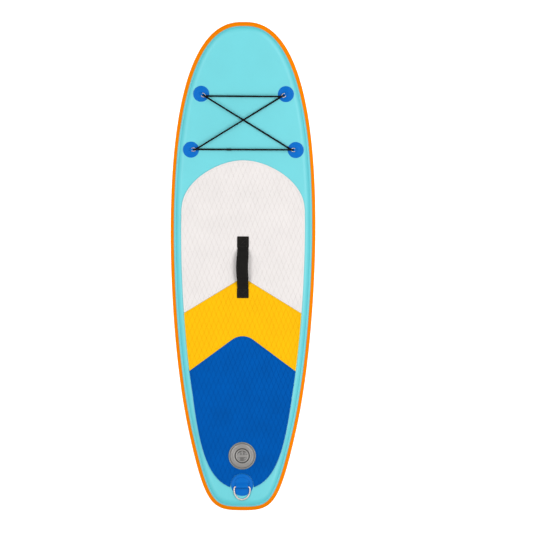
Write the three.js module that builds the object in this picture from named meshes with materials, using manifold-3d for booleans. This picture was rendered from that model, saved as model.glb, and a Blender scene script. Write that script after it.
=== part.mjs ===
// Youth stand up paddleboard: an inflatable drop-stitch hull with its deck fittings and fins.
// Units are millimetres. The board lies flat: +Z up, the nose towards +Y, +X to the right.
// The origin is under the middle of the board, level with the tip of the centre fin.

import * as THREE from "three";
import { mergeVertices } from "three/addons/utils/BufferGeometryUtils.js";
import Module from "manifold-3d";

// ---- driving dimensions ----

const HALF_LENGTH = 915;
const HALF_WIDTH = 271.7;
const HULL_HALF_THICKNESS = 50;
const RAIL_REACH = 42; // how far the round side wall reaches inboard
const FIN_DEPTH = 145; // hull bottom to the centre fin's tip
const NOSE_ROCKER = { start: 200, rise: 62, power: 2.2 };

// Depth of each side-wall layer under the outermost surface.
const BAND_LAYER = [0, 1.2];
const TAPE_LAYER = [1.5, 2.5];
const SKIN_LAYER = [2.8, 4.0];
const RAIL_ANGLES = [1, 21, 42, 56, 73, 90];
const BAND_ANGLE = 42;
const TAPE_ANGLE = 56;

const MID_Z = FIN_DEPTH + HULL_HALF_THICKNESS;
const DECK_Z = MID_Z + HULL_HALF_THICKNESS;
const SKIN_THICKNESS = SKIN_LAYER[1] - SKIN_LAYER[0];
const CLOTH_INSET = 43.5;
const GAP = 0.3;

const PAD = { bottom: 0.4, top: 4.9, inset: 40, seam: 0.8 };
const PAD_ARCH = [[0, 397], [30, 395], [59, 388.5], [91, 377], [120, 362], [150, 343], [178, 320],
  [200, 295], [216, 270], [226, 245]];
const PAD_TAIL = [[183.6, -502], [158, -680], [128, -834], [0, -834]];
const FRONT_CHEVRON = [[0, -49], [22, -54.4], [300, -224]];
const REAR_CHEVRON = [[0, -262], [15, -263.6], [30, -268.8], [44, -278.2], [300, -467.4]];

const VALVE = { y: -709.5, flange: 51, neck: 24, bore: 20, depth: 24 };
const CAP_TRAVEL = 12;

const ANCHOR = { patch: 30, boss: 3.2, bar: 6.5, reach: 14, lift: 4.4, wire: 1.3, half: 6.3, barOffset: 3.3 };
const FRONT_ANCHOR = { x: 158.5, y: 645, toward: [-11, -6] };
const REAR_ANCHOR = { x: 196, y: 436, toward: [-12, 1] };
const CORD_RADIUS = 3.25;
const CORD_LEAD = 12; // straight run out of a ring before the cord turns to its next one
const CROSSING_LIFT = 3.7;

const HANDLE = { half: 22, front: 112, frontLength: 43, rear: -119, rearLength: 37, rise: 28 };
const GRIP = { front: 38, rear: -45, thickness: 10, slot: 3 };
const WEBBING = { half: 18.4, thickness: 2 };

const LEASH = { y: -818, patch: 41.5, top: 2.8, barY: -826, barZ: 7.2, wire: 2.9, half: 29.6, drop: 47 };
const LEASH_REST_TILT = 2.3; // degrees that the ring hangs below level, resting on its patch

const FIN_BOX = { y: -640, length: 225, width: 30, depth: 24, slot: 9.8, key: 16 };
const FIN_SCREW_Y = FIN_BOX.y + 88;
const FIN_PIN_Y = FIN_BOX.y - 84;
const SIDE_FIN = { x: 138, y: -648, depth: 66 };

const wasm = await Module();
wasm.setup();
const board = new THREE.Group();

// ---- materials ----

function finish(color, roughness, metalness = 0) {
  return () => new THREE.MeshStandardMaterial({ color, roughness, metalness });
}

const turquoise = finish("#7adce6", 0.45);
const orange = finish("#ff8000", 0.45);
const clothWhite = finish("#e8e6df", 0.8);
const padWhite = finish("#efeae8", 0.8);
const padYellow = finish("#fbc110", 0.8);
const padBlue = finish("#0058ad", 0.8);
const patchBlue = finish("#0764bd", 0.5);
const webbingBlack = finish("#201e1a", 0.8);
const valveGrey = finish("#94928f", 0.5);
const rubberBlack = finish("#1c1c1c", 0.7);
const plasticBlack = finish("#232527", 0.5);
const finPlastic = finish("#2a2c30", 0.45);
const steel = finish("#d9d4cf", 0.2, 1);
const brass = finish("#c9a65a", 0.3, 1);

// ---- geometry helpers ----

/** Merge shared points, drop collapsed triangles and turn every face outwards. */
function tidy(geometry) {
  const bare = geometry.clone();
  bare.deleteAttribute("normal");
  bare.deleteAttribute("uv");
  const merged = mergeVertices(bare, 1e-3);
  const position = merged.getAttribute("position");
  const kept = [];
  let volume = 0;
  const corner = [new THREE.Vector3(), new THREE.Vector3(), new THREE.Vector3()];
  for (let i = 0; i < merged.index.count; i += 3) {
    const [a, b, c] = [0, 1, 2].map((k) => merged.index.getX(i + k));
    if (a === b || b === c || c === a) continue;
    kept.push(a, b, c);
    [a, b, c].forEach((id, k) => corner[k].fromBufferAttribute(position, id));
    volume += corner[0].dot(corner[1].cross(corner[2]));
  }
  if (volume < 0) kept.reverse();
  merged.setIndex(kept);
  return merged;
}

function toManifold(geometry) {
  const clean = tidy(geometry);
  return new wasm.Manifold(new wasm.Mesh({
    numProp: 3,
    vertProperties: Float32Array.from(clean.getAttribute("position").array),
    triVerts: Uint32Array.from(clean.index.array),
  }));
}

function fromManifold(manifold) {
  const mesh = manifold.getMesh();
  const geometry = new THREE.BufferGeometry();
  geometry.setAttribute("position", new THREE.BufferAttribute(mesh.vertProperties, 3));
  geometry.setIndex(Array.from(mesh.triVerts));
  return geometry;
}

function join(first, ...others) {
  return fromManifold(others.reduce((sum, part) => sum.add(toManifold(part)), toManifold(first)));
}

function cut(first, ...tools) {
  return fromManifold(tools.reduce((rest, tool) => rest.subtract(toManifold(tool)), toManifold(first)));
}

function common(first, ...others) {
  return fromManifold(others.reduce((rest, part) => rest.intersect(toManifold(part)), toManifold(first)));
}

/** Add a named mesh to a group, the board itself unless another is given. */
function add(name, geometry, material, parent = board) {
  const mesh = new THREE.Mesh(tidy(geometry), material());
  mesh.name = name;
  parent.add(mesh);
  return mesh;
}

/** A box between two corners. */
function block(low, high) {
  const size = high.map((value, i) => value - low[i]);
  return new THREE.BoxGeometry(...size).translate(...low.map((value, i) => value + size[i] / 2));
}

/** A round rod along Z between two heights. */
function rod(radius, low, high, sides = 24) {
  return new THREE.CylinderGeometry(radius, radius, high - low, sides)
    .rotateX(Math.PI / 2)
    .translate(0, 0, (low + high) / 2);
}

/** A body turned about Z, from [radius, height] corners that close on themselves or on the axis. */
function turned(corners, sides = 32) {
  const closed = corners[0][0] === 0 ? corners : [...corners, corners[0]];
  const profile = closed.map(([radius, height]) => new THREE.Vector2(radius, height));
  return new THREE.LatheGeometry(profile, sides).rotateX(Math.PI / 2);
}

/** A plate with the given outline in plan, between two heights. */
function prism(outline, low, high) {
  const shape = new THREE.Shape(outline.map(([x, y]) => new THREE.Vector2(x, y)));
  return new THREE.ExtrudeGeometry(shape, { depth: high - low, bevelEnabled: false }).translate(0, 0, low);
}

/** A side-view outline of [y, z] corners, with holes, made `width` wide about x = 0. */
function sideways(outline, width, holes = []) {
  const shape = new THREE.Shape(outline.map(([y, z]) => new THREE.Vector2(y, z)));
  for (const [y, z, radius] of holes) {
    shape.holes.push(new THREE.Path().absarc(y, z, radius, 0, 2 * Math.PI));
  }
  const options = { depth: width, bevelEnabled: false, curveSegments: 8 };
  const toBoard = new THREE.Matrix4().makeBasis(
    new THREE.Vector3(0, 1, 0), new THREE.Vector3(0, 0, 1), new THREE.Vector3(1, 0, 0));
  return new THREE.ExtrudeGeometry(shape, options).applyMatrix4(toBoard).translate(-width / 2, 0, 0);
}

/** A closed loop that a tube follows point by point, so that tight bends keep their own points. */
class Loop extends THREE.Curve {
  constructor(points) {
    super();
    this.points = points;
  }

  getPoint(t) {
    const count = this.points.length;
    const place = t * count;
    const index = Math.floor(place) % count;
    return this.points[index].clone().lerp(this.points[(index + 1) % count], place - Math.floor(place));
  }

  getPointAt(t) {
    return this.getPoint(t);
  }

  getTangentAt(t) {
    const count = this.points.length;
    const index = Math.round(t * count) % count;
    const before = this.points[(index + count - 1) % count];
    return this.points[(index + 1) % count].clone().sub(before).normalize();
  }
}

function hoop(points, radius, sides = 8) {
  return new THREE.TubeGeometry(new Loop(points), points.length, radius, sides, true);
}

/** A mesh gathered point by point and face by face. */
class Surface {
  constructor() {
    this.points = [];
    this.faces = [];
  }

  point(x, y, z) {
    return this.points.push(x, y, z) / 3 - 1;
  }

  quad(a, b, c, d) {
    this.faces.push(a, b, c, a, c, d);
  }

  geometry() {
    const geometry = new THREE.BufferGeometry();
    geometry.setAttribute("position", new THREE.Float32BufferAttribute(this.points, 3));
    geometry.setIndex(this.faces);
    return geometry;
  }
}

// ---- hull shape ----

const OUTLINE_CURVES = [
  { points: [[0, HALF_LENGTH], [58.4, HALF_LENGTH], [HALF_WIDTH, 925.2], [HALF_WIDTH, 135.6]],
    steps: 16, crowd: 1.3 },
  { points: [[HALF_WIDTH, 135.6], [HALF_WIDTH, -4.4], [261, -352.1], [199.5, -625.4]], steps: 5, crowd: 1 },
  { points: [[199.5, -625.4], [137.3, -902.4], [112, -HALF_LENGTH], [0, -HALF_LENGTH]],
    steps: 10, crowd: 1 },
];

function rocker(y) {
  const run = Math.max(0, y - NOSE_ROCKER.start) / (HALF_LENGTH - NOSE_ROCKER.start);
  return NOSE_ROCKER.rise * run ** NOSE_ROCKER.power;
}

function rockerSlope(y) {
  return (rocker(y + 1) - rocker(y - 1)) / 2;
}

/** Points round the plan outline with their inward normals: nose, right side, tail, left side. */
function outlineStations() {
  const right = [];
  OUTLINE_CURVES.forEach(({ points, steps, crowd }, order) => {
    const curve = new THREE.CubicBezierCurve(...points.map(([x, y]) => new THREE.Vector2(x, y)));
    for (let step = order ? 1 : 0; step <= steps; step += 1) {
      const place = (step / steps) ** crowd;
      const at = curve.getPointAt(place);
      const along = curve.getTangentAt(place);
      right.push({ x: at.x, y: at.y, nx: along.y, ny: -along.x });
    }
  });
  right[0].nx = 0;
  right[right.length - 1].x = 0;
  right[right.length - 1].nx = 0;
  const left = right.slice(1, -1).reverse();
  return [...right, ...left.map(({ x, y, nx, ny }) => ({ x: -x, y, nx: -nx, ny }))];
}

const STATIONS = outlineStations();
const HALF_COUNT = STATIONS.length / 2;

function insetPoint(station, inset) {
  return [station.x + inset * station.nx, station.y + inset * station.ny];
}

function insetOutline(inset) {
  return STATIONS.map((station) => insetPoint(station, inset));
}

/** A point of the round side wall, at a depth under the outermost layer. */
function railPoint(surface, station, degrees, depth) {
  const angle = THREE.MathUtils.degToRad(degrees);
  const skinDepth = SKIN_LAYER[0];
  const inset = RAIL_REACH - (RAIL_REACH - depth) * Math.cos(angle);
  const [x, y] = insetPoint(station, inset);
  const height = (HULL_HALF_THICKNESS + skinDepth - depth) * Math.sin(angle);
  return surface.point(x, y, MID_Z + rocker(y) + height);
}

/** Fill a ring of stations with strips across the board. */
function fillAcross(surface, ring, forwards) {
  const count = ring.length;
  for (let k = 0; k < HALF_COUNT; k += 1) {
    const corners = [ring[k], ring[k + 1], ring[(count - k - 1) % count], ring[(count - k) % count]];
    surface.quad(...(forwards ? corners : corners.reverse()));
  }
}

/** One hull skin: a flat panel whose edge turns down round the rail; side is 1 for the deck, -1 below. */
function hullSkin(side) {
  const surface = new Surface();
  const angles = RAIL_ANGLES.map((angle) => side * angle);
  const sections = STATIONS.map((station) => [
    ...angles.map((angle) => railPoint(surface, station, angle, SKIN_LAYER[0])),
    ...angles.toReversed().map((angle) => railPoint(surface, station, angle, SKIN_LAYER[1])),
  ]);
  const length = 2 * angles.length;
  sections.forEach((section, i) => {
    const next = sections[(i + 1) % sections.length];
    for (let j = 0; j < length; j += 1) {
      if (j === angles.length - 1) continue;
      const k = (j + 1) % length;
      surface.quad(section[j], next[j], next[k], section[k]);
    }
  });
  fillAcross(surface, sections.map((section) => section[angles.length - 1]), true);
  fillAcross(surface, sections.map((section) => section[angles.length]), false);
  return surface.geometry();
}

/** A band wrapped round the whole side wall, up to an angle above and below its middle. */
function railLoop(reachAngle, [outer, inner]) {
  const surface = new Surface();
  const upper = RAIL_ANGLES.filter((angle) => angle > 1 && angle <= reachAngle);
  const angles = [...upper.map((angle) => -angle).reverse(), 0, ...upper];
  const sections = STATIONS.map((station) => [
    ...angles.map((angle) => railPoint(surface, station, angle, outer)),
    ...angles.toReversed().map((angle) => railPoint(surface, station, angle, inner)),
  ]);
  sections.forEach((section, i) => {
    const next = sections[(i + 1) % sections.length];
    section.forEach((corner, j) => {
      const k = (j + 1) % section.length;
      surface.quad(corner, next[j], next[k], section[k]);
    });
  });
  return surface.geometry();
}

/** A wide slab that follows the deck's rocker, between two heights over a reference height. */
function rockerSlab(reference, low, high) {
  const surface = new Surface();
  const stations = STATIONS.slice(0, HALF_COUNT + 1).map((station) => insetPoint(station, RAIL_REACH)[1]);
  const rows = [HALF_LENGTH, ...stations, -HALF_LENGTH];
  const section = ([x, z]) => rows.map((y) => surface.point(x, y, reference + rocker(y) + z));
  const lines = [[320, low], [320, high], [-320, high], [-320, low]].map(section);
  lines.forEach((line, i) => {
    const next = lines[(i + 1) % 4];
    for (let k = 0; k + 1 < rows.length; k += 1) surface.quad(line[k], line[k + 1], next[k + 1], next[k]);
  });
  const last = rows.length - 1;
  surface.quad(...lines.map((line) => line[0]));
  surface.quad(...lines.map((line) => line[last]).reverse());
  return surface.geometry();
}

/** A thin plate over the board's plan, inset from its edge and following the rocker. */
function hullPlate(inset, low, high) {
  return common(rockerSlab(MID_Z, low, high), prism(insetOutline(inset), 0, 2 * DECK_Z));
}

/** The air chamber's cloth: a deck sheet and a bottom sheet tied together by rows of thread. */
function dropStitchCore() {
  const cloth = HULL_HALF_THICKNESS - SKIN_THICKNESS - GAP;
  const rows = [[50, -840, 840], [100, -790, 790], [150, -660, 700], [198, -380, 570]];
  const webs = rows.flatMap(([x, rear, front]) => [-x, x].map((at) =>
    block([at - 0.8, rear, 0], [at + 0.8, front, 2 * DECK_Z])));
  const between = rockerSlab(MID_Z, 0.5 - cloth, cloth - 0.5);
  const threads = webs.map((web) => common(between, web));
  const body = join(hullPlate(CLOTH_INSET, cloth - 1, cloth), hullPlate(CLOTH_INSET, -cloth, 1 - cloth), ...threads);
  return cut(body, rod(VALVE.neck + 1.5, MID_Z, DECK_Z + 5).translate(0, VALVE.y, 0));
}

function buildHull() {
  const valveHole = rod(VALVE.neck + 0.5, MID_Z, DECK_Z + 5).translate(0, VALVE.y, 0);
  add("deck_skin", cut(hullSkin(1), valveHole), turquoise);
  add("bottom_skin", hullSkin(-1), turquoise);
  add("seam_tape", railLoop(TAPE_ANGLE, TAPE_LAYER), turquoise);
  add("rail_band", railLoop(BAND_ANGLE, BAND_LAYER), orange);
  add("drop_stitch_core", dropStitchCore(), clothWhite);
}

// ---- deck pad ----

function mirrored(rightHalf) {
  const left = rightHalf.filter(([x]) => x > 0).reverse().map(([x, y]) => [-x, y]);
  return [...rightHalf, ...left];
}

/** The whole pad's outline: arch at the front, sides along the rails, rounded tail. */
function padOutline() {
  const sides = insetOutline(PAD.inset)
    .slice(0, HALF_COUNT + 1)
    .filter(([, y]) => y < 225 && y > PAD_TAIL[0][1] + 20);
  const tail = new THREE.CubicBezierCurve(...PAD_TAIL.map(([x, y]) => new THREE.Vector2(x, y)));
  return mirrored([...PAD_ARCH, ...sides, ...tail.getPoints(12).map(({ x, y }) => [x, y])]);
}

/** Everything forward of a chevron line, as a plan outline. */
function aheadOf(chevron, shift) {
  const line = chevron.map(([x, y]) => [x, y + shift]);
  const left = line.slice(1).reverse().map(([x, y]) => [-x, y]);
  return [...left, ...line, [300, 500], [-300, 500]];
}

/** Everything aft of a chevron line, as a plan outline. */
function behind(chevron, shift) {
  const line = chevron.map(([x, y]) => [x, y + shift]);
  const left = line.slice(1).reverse().map(([x, y]) => [-x, y]);
  return [[-300, -900], [300, -900], ...[...left, ...line].reverse()];
}

function buildPads() {
  const whole = common(rockerSlab(DECK_Z, PAD.bottom, PAD.top), prism(padOutline(), 0, 2 * DECK_Z));
  const region = (outline) => prism(outline, 0, 2 * DECK_Z);
  const round = (radius, y) => rod(radius, 0, 2 * DECK_Z, 40).translate(0, y, 0);
  const frontOf = region(aheadOf(FRONT_CHEVRON, PAD.seam));
  const middle = common(region(behind(FRONT_CHEVRON, -PAD.seam)), region(aheadOf(REAR_CHEVRON, PAD.seam)));
  const rear = common(whole, region(behind(REAR_CHEVRON, -PAD.seam)));
  add("deck_pad_white", common(whole, frontOf), padWhite);
  add("deck_pad_yellow", common(whole, middle), padYellow);
  add("deck_pad_blue", cut(rear, round(VALVE.flange + 1, VALVE.y), round(LEASH.patch + 1, LEASH.y)), padBlue);
}

// ---- bungee ----

/** A seat on the deck at a plan point: Z out of the deck, X along a plan direction. */
function deckSeat(x, y, toward = [1, 0]) {
  const seat = new THREE.Group();
  const slope = rockerSlope(y);
  const up = new THREE.Vector3(0, -slope, 1).normalize();
  const ahead = new THREE.Vector3(toward[0], toward[1], slope * toward[1]).normalize();
  const side = up.clone().cross(ahead);
  new THREE.Matrix4().makeBasis(ahead, side, up).setPosition(x, y, DECK_Z + rocker(y))
    .decompose(seat.position, seat.quaternion, seat.scale);
  seat.updateMatrixWorld();
  return seat;
}

/** The D-shaped line of a ring, its bar on the local Y axis at x = 0. */
function dLine(half, straight, reach, corner, arcSteps) {
  const points = [[corner * 0.29, -half + corner * 0.29], [0, -half + corner], [0, half - corner],
    [corner * 0.29, half - corner * 0.29], [corner, half], [straight, half]];
  for (let i = 1; i < arcSteps; i += 1) {
    const angle = Math.PI * (0.5 - i / arcSteps);
    points.push([straight + (reach - straight) * Math.cos(angle), half * Math.sin(angle)]);
  }
  points.push([straight, -half], [corner, -half]);
  return points.map(([x, y]) => new THREE.Vector3(x, y, 0));
}

/** One bungee anchor: a round patch, a loop on its boss and the ring that the loop holds. */
function buildAnchor(name, { x, y, toward }, side) {
  const seat = deckSeat(side * x, y, [side * toward[0], toward[1]]);
  board.add(seat);
  const { patch, boss, bar, barOffset, wire } = ANCHOR;
  const disc = turned([[0, 0.45], [patch, 0.45], [patch, 1.2], [patch - 0.8, 1.7], [24, 1.9], [23, 2.4],
    [16, 2.6], [15, boss], [0, boss]], 24);
  add(`bungee_patch_${name}`, disc, patchBlue, seat);
  const outer = wire + 1.6;
  const loop = sideways([[-9, boss + GAP], [0, boss + GAP], [outer * 0.8, bar - outer * 0.6], [outer, bar],
    [outer * 0.7, bar + outer * 0.7], [0, bar + outer], [-outer * 0.8, bar + outer * 0.7],
    [-5, boss + 2.4], [-9, boss + 1.6]], 7, [[0, bar, wire + GAP]]);
  add(`bungee_loop_${name}`, loop.rotateZ(-Math.PI / 2).translate(barOffset, 0, 0), patchBlue, seat);
  const tilt = Math.asin(ANCHOR.lift / ANCHOR.reach);
  const ring = hoop(dLine(ANCHOR.half, 7, ANCHOR.reach, 2.2, 8), wire);
  add(`bungee_ring_${name}`, ring.rotateY(-tilt).translate(barOffset, 0, bar), steel, seat);
  return seat;
}

/** The cord's bight round one ring: in over the ring's bow, down through the ring and out below it. */
function bight(seat) {
  const bend = CORD_RADIUS + ANCHOR.wire + GAP;
  const bow = ANCHOR.barOffset + Math.sqrt(ANCHOR.reach ** 2 - ANCHOR.lift ** 2);
  const points = [];
  for (let degrees = 90; degrees <= 270; degrees += 30) {
    const angle = THREE.MathUtils.degToRad(degrees);
    points.push(new THREE.Vector3(bow + bend * Math.cos(angle), 0,
      ANCHOR.bar + ANCHOR.lift + bend * Math.sin(angle)));
  }
  return points.map((point) => point.applyMatrix4(seat.matrixWorld));
}

/** The straight stretch from one ring to the next, with a lift where it crosses another stretch. */
function stretch(from, to, lift) {
  const along = to.clone().sub(from);
  const fractions = [CORD_LEAD / along.length(), 0.25, 0.45, 0.5, 0.55, 0.75, 1 - CORD_LEAD / along.length()];
  return fractions.map((part) => {
    const nearMiddle = Math.max(0, 1 - Math.abs(part - 0.5) / 0.25);
    return from.clone().addScaledVector(along, part).add(new THREE.Vector3(0, 0, lift * nearMiddle));
  });
}

function buildBungee() {
  const frontLeft = buildAnchor("front_left", FRONT_ANCHOR, -1);
  const frontRight = buildAnchor("front_right", FRONT_ANCHOR, 1);
  const rearLeft = buildAnchor("rear_left", REAR_ANCHOR, -1);
  const rearRight = buildAnchor("rear_right", REAR_ANCHOR, 1);
  const bights = [frontLeft, frontRight, rearLeft, rearRight].map(bight);
  const lifts = [0, CROSSING_LIFT, 0, -CROSSING_LIFT];
  const route = bights.flatMap((points, i) => [
    ...points,
    ...stretch(points[points.length - 1], bights[(i + 1) % 4][0], lifts[i]),
  ]);
  add("bungee_cord", hoop(route, CORD_RADIUS), rubberBlack);
  const rear = stretch(bights[2][bights[2].length - 1], bights[3][0], 0);
  const [start, end] = [rear[1], rear[2]];
  const sleeve = turned([[CORD_RADIUS + GAP, -9], [CORD_RADIUS + 0.85, -9], [CORD_RADIUS + 0.85, 9],
    [CORD_RADIUS + GAP, 9]], 16);
  const mesh = add("bungee_sleeve", sleeve, plasticBlack);
  mesh.position.copy(start).lerp(end, 0.5);
  mesh.quaternion.setFromUnitVectors(new THREE.Vector3(0, 0, 1), end.clone().sub(start).normalize());
}

// ---- carry handle ----

/** A side-view line of [y, z] points thickened to a strap section. */
function strapOutline(line, thickness) {
  const upper = line.map(([y, z]) => [y, z + thickness]);
  return [...line, ...upper.reverse()];
}

function buildHandle() {
  const base = DECK_Z + PAD.top + GAP;
  const tab = (front, length) => block([-HANDLE.half, front - length, base], [HANDLE.half, front, base + 2.2]);
  const rearFront = HANDLE.rear + HANDLE.rearLength;
  add("handle_tab_front", tab(HANDLE.front, HANDLE.frontLength), webbingBlack);
  add("handle_tab_rear", tab(rearFront, HANDLE.rearLength), webbingBlack);
  const frontEnd = HANDLE.front - HANDLE.frontLength - GAP;
  const rearEnd = rearFront + GAP;
  const top = DECK_Z + HANDLE.rise - WEBBING.thickness / 2;
  const line = [[rearEnd, base], [rearEnd + 8, base + 2], [rearEnd + 22, top - 7], [GRIP.rear - 4, top - 0.5],
    [GRIP.rear, top], [GRIP.front, top], [GRIP.front + 4, top - 0.5], [frontEnd - 18, top - 7],
    [frontEnd - 7, base + 2], [frontEnd, base]];
  add("handle_webbing", sideways(strapOutline(line, WEBBING.thickness), 2 * WEBBING.half), webbingBlack);
  const { half, rise } = HANDLE;
  const thick = GRIP.thickness / 2;
  const sleeve = block([-half, GRIP.rear, DECK_Z + rise - thick], [half, GRIP.front, DECK_Z + rise + thick]);
  const passage = WEBBING.half + GAP + 0.2;
  const slot = block([-passage, GRIP.rear - 5, DECK_Z + rise - GRIP.slot / 2],
    [passage, GRIP.front + 5, DECK_Z + rise + GRIP.slot / 2]);
  add("handle_grip", cut(sleeve, slot), webbingBlack);
}

// ---- inflation valve ----

function valveBody() {
  const { flange, neck, bore, depth } = VALVE;
  const shell = turned([[bore, -depth], [neck, -depth], [neck, GAP], [flange, GAP], [flange, 3],
    [flange - 2, 4.2], [42, 4.6], [40, 5.8], [31, 5.8], [29.5, 5], [27, 5], [27, 1.5], [bore + 2, 1.5],
    [bore + 2, -14], [bore, -14]], 32);
  const hub = turned([[4.4, -19], [7, -19], [7, -15], [4.4, -15]], 20);
  const arms = [0, 60, 120].map((degrees) => cut(
    block([-bore - 1, -1.5, -19], [bore + 1, 1.5, -15]).rotateZ(THREE.MathUtils.degToRad(degrees)),
    rod(4.4, -30, 0, 20),
  ));
  return join(shell, hub, ...arms);
}

/** The screw cap: a disc and skirt, with a raised grip bar between two finger recesses. */
function valveCap() {
  const skirt = VALVE.bore + 1.7;
  const disc = turned([[0, 1], [skirt - 3, 1], [skirt - 3, -11], [skirt, -11], [skirt, 3], [24.6, 3],
    [24.6, 5.4], [23.4, 6.6], [0, 6.6]], 32);
  const recess = (turn) => {
    const arc = new THREE.Shape().absarc(0, 0, 19, 0.28, Math.PI - 0.28);
    arc.closePath();
    return new THREE.ExtrudeGeometry(arc, { depth: 6, bevelEnabled: false, curveSegments: 14 })
      .translate(0, 0, 3.2)
      .rotateZ(turn);
  };
  return cut(disc, recess(0), recess(Math.PI));
}

function valveSpring() {
  class Coil extends THREE.Curve {
    getPoint(t) {
      const angle = t * 5 * 2 * Math.PI;
      return new THREE.Vector3(6.2 * Math.cos(angle), 6.2 * Math.sin(angle), -13.8 + 8.2 * t);
    }
  }
  const section = new THREE.Shape().absarc(0, 0, 0.6, 0, 2 * Math.PI);
  return new THREE.ExtrudeGeometry(section, { steps: 60, curveSegments: 3, extrudePath: new Coil() });
}

function buildValve() {
  const seat = new THREE.Group();
  seat.position.set(0, VALVE.y, DECK_Z);
  board.add(seat);
  const { neck, bore, depth } = VALVE;
  const cloth = -SKIN_THICKNESS - GAP - 1 - GAP;
  add("valve_body", valveBody(), valveGrey, seat);
  add("valve_nut", turned([[neck + GAP, cloth - 7], [36, cloth - 7], [38, cloth - 4], [38, cloth],
    [neck + GAP, cloth]], 24), valveGrey, seat);
  const [sealTop, sealBottom] = [-depth - GAP, -depth - GAP - 2];
  add("valve_stem", turned([[0, sealBottom - 2.5], [10, sealBottom - 2.5], [10, sealBottom - GAP],
    [4, sealBottom - GAP], [4, -4.6], [8, -4.6], [8, -2.4], [7, -1.2], [0, -1.2]], 24), plasticBlack, seat);
  add("valve_seal", turned([[4.4, sealBottom], [22, sealBottom], [22.6, sealTop], [4.4, sealTop]], 28),
    rubberBlack, seat);
  add("valve_spring", valveSpring(), steel, seat);
  add("valve_cap", valveCap(), valveGrey, seat);
  add("valve_cap_seal", turned([[bore + 2.1, 1.8], [26.6, 1.8], [26.6, 2.7], [bore + 2.1, 2.7]], 32),
    rubberBlack, seat);
}

// ---- leash ring ----

function buildLeash() {
  const { y, patch, top, barY, barZ, wire, half, drop } = LEASH;
  const disc = turned([[0, GAP], [patch, GAP], [patch, 1.6], [patch - 1, 2.2], [34, 2.4], [33, top], [0, top]],
    40);
  add("leash_patch", disc.translate(0, y, DECK_Z), patchBlue);
  const [low, outer] = [DECK_Z + top + GAP, wire + 2];
  const [axisZ, tail] = [DECK_Z + barZ, y + 15];
  const strap = sideways([[tail, low], [barY, low - 0.05], [barY - outer * 0.7, axisZ - outer * 0.6],
    [barY - outer, axisZ], [barY - outer * 0.7, axisZ + outer * 0.7], [barY, axisZ + outer],
    [barY + outer * 0.7, axisZ + outer * 0.7], [barY + 9, low + 4], [barY + 12, low + 2], [tail, low + 2]],
  46, [[barY, axisZ, wire + GAP]]);
  add("leash_strap", strap, patchBlue);
  const moon = [];
  for (let degrees = 0; degrees <= 180; degrees += 15) {
    const angle = THREE.MathUtils.degToRad(degrees);
    moon.push([28 * Math.cos(angle), barY + 13.5 + 22 * Math.sin(angle)]);
  }
  const channel = block([-23.4, barY, low - 1], [23.4, tail + 0.4, low + 2 + GAP]);
  add("leash_cover", cut(prism(moon, low, low + 4), channel), patchBlue);
  const ring = hoop(dLine(half, 12, drop, 6, 14), wire);
  const tilt = THREE.MathUtils.degToRad(LEASH_REST_TILT);
  ring.rotateY(tilt).rotateZ(-Math.PI / 2).translate(0, barY, axisZ);
  add("leash_ring", ring, steel);
}

// ---- fins ----

/** A fin blade: foil sections stacked from the root down, each [depth, leading y, trailing y, half width]. */
function blade(sections) {
  const surface = new Surface();
  const foil = [[0, 0], [0.75, 0.1], [1, 0.35], [0.7, 0.7], [0.12, 1], [-0.12, 1], [-0.7, 0.7], [-1, 0.35],
    [-0.75, 0.1]];
  const rings = sections.map(([depth, lead, trail, half]) =>
    foil.map(([side, part]) => surface.point(side * half, lead + (trail - lead) * part, -depth)));
  for (let i = 0; i + 1 < rings.length; i += 1) {
    foil.forEach((_, j) => {
      const k = (j + 1) % foil.length;
      surface.quad(rings[i][j], rings[i][k], rings[i + 1][k], rings[i + 1][j]);
    });
  }
  const [first, last] = [rings[0], rings[rings.length - 1]];
  for (let j = 1; j + 1 < foil.length; j += 1) {
    surface.faces.push(first[0], first[j + 1], first[j], last[0], last[j], last[j + 1]);
  }
  return surface.geometry();
}

function finBox() {
  const { length, width, depth, slot, key } = FIN_BOX;
  const [end, inside] = [length / 2, length / 2 - 5];
  const flange = block([-48, -end - 26, -3 - GAP], [48, end + 26, -GAP]);
  const channel = block([-width / 2, -end, -depth - GAP], [width / 2, end, -1]);
  const mouth = block([-slot / 2, -inside, -depth - 5], [slot / 2, inside, -4 - GAP]);
  const keyway = block([-key / 2 - GAP, -inside, -19], [key / 2 + GAP, inside, -12.4]);
  return cut(join(flange, channel), mouth, keyway);
}

function centreFin() {
  const bladeShape = blade([[20, 74, -92, 3.6], [40, 60, -96, 4.4], [70, 30, -104, 3.9], [100, -10, -116, 3.1],
    [125, -56, -128, 2.2], [139, -94, -137, 1.4], [FIN_DEPTH, -124, -141, 0.7]]);
  const tab = block([-4.6, -94, -24], [4.6, 76, -6]);
  const tongue = block([-4.6, 70, -23.4], [4.6, 97, -19.6]);
  const pinHole = rod(2.9, -10, 10, 16).rotateY(Math.PI / 2).translate(0, -84, -15.7);
  const screwHole = rod(2.3, -30, -10, 16).translate(0, 88, 0);
  return cut(join(bladeShape, tab, tongue), pinHole, screwHole);
}

function buildSideFin(name, side) {
  const { x, y, depth } = SIDE_FIN;
  const plate = block([-21, -62, -3 - GAP], [21, 62, -GAP]);
  const bladeShape = blade([[2, 44, -46, 3.4], [22, 24, -50, 3.4], [44, -6, -56, 2.6], [58, -34, -62, 1.8],
    [depth, -52, -66, 0.8]]);
  const fin = join(plate, bladeShape.rotateY(THREE.MathUtils.degToRad(-side * 4)));
  add(name, fin.translate(side * x, y, FIN_DEPTH), finPlastic);
}

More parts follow.
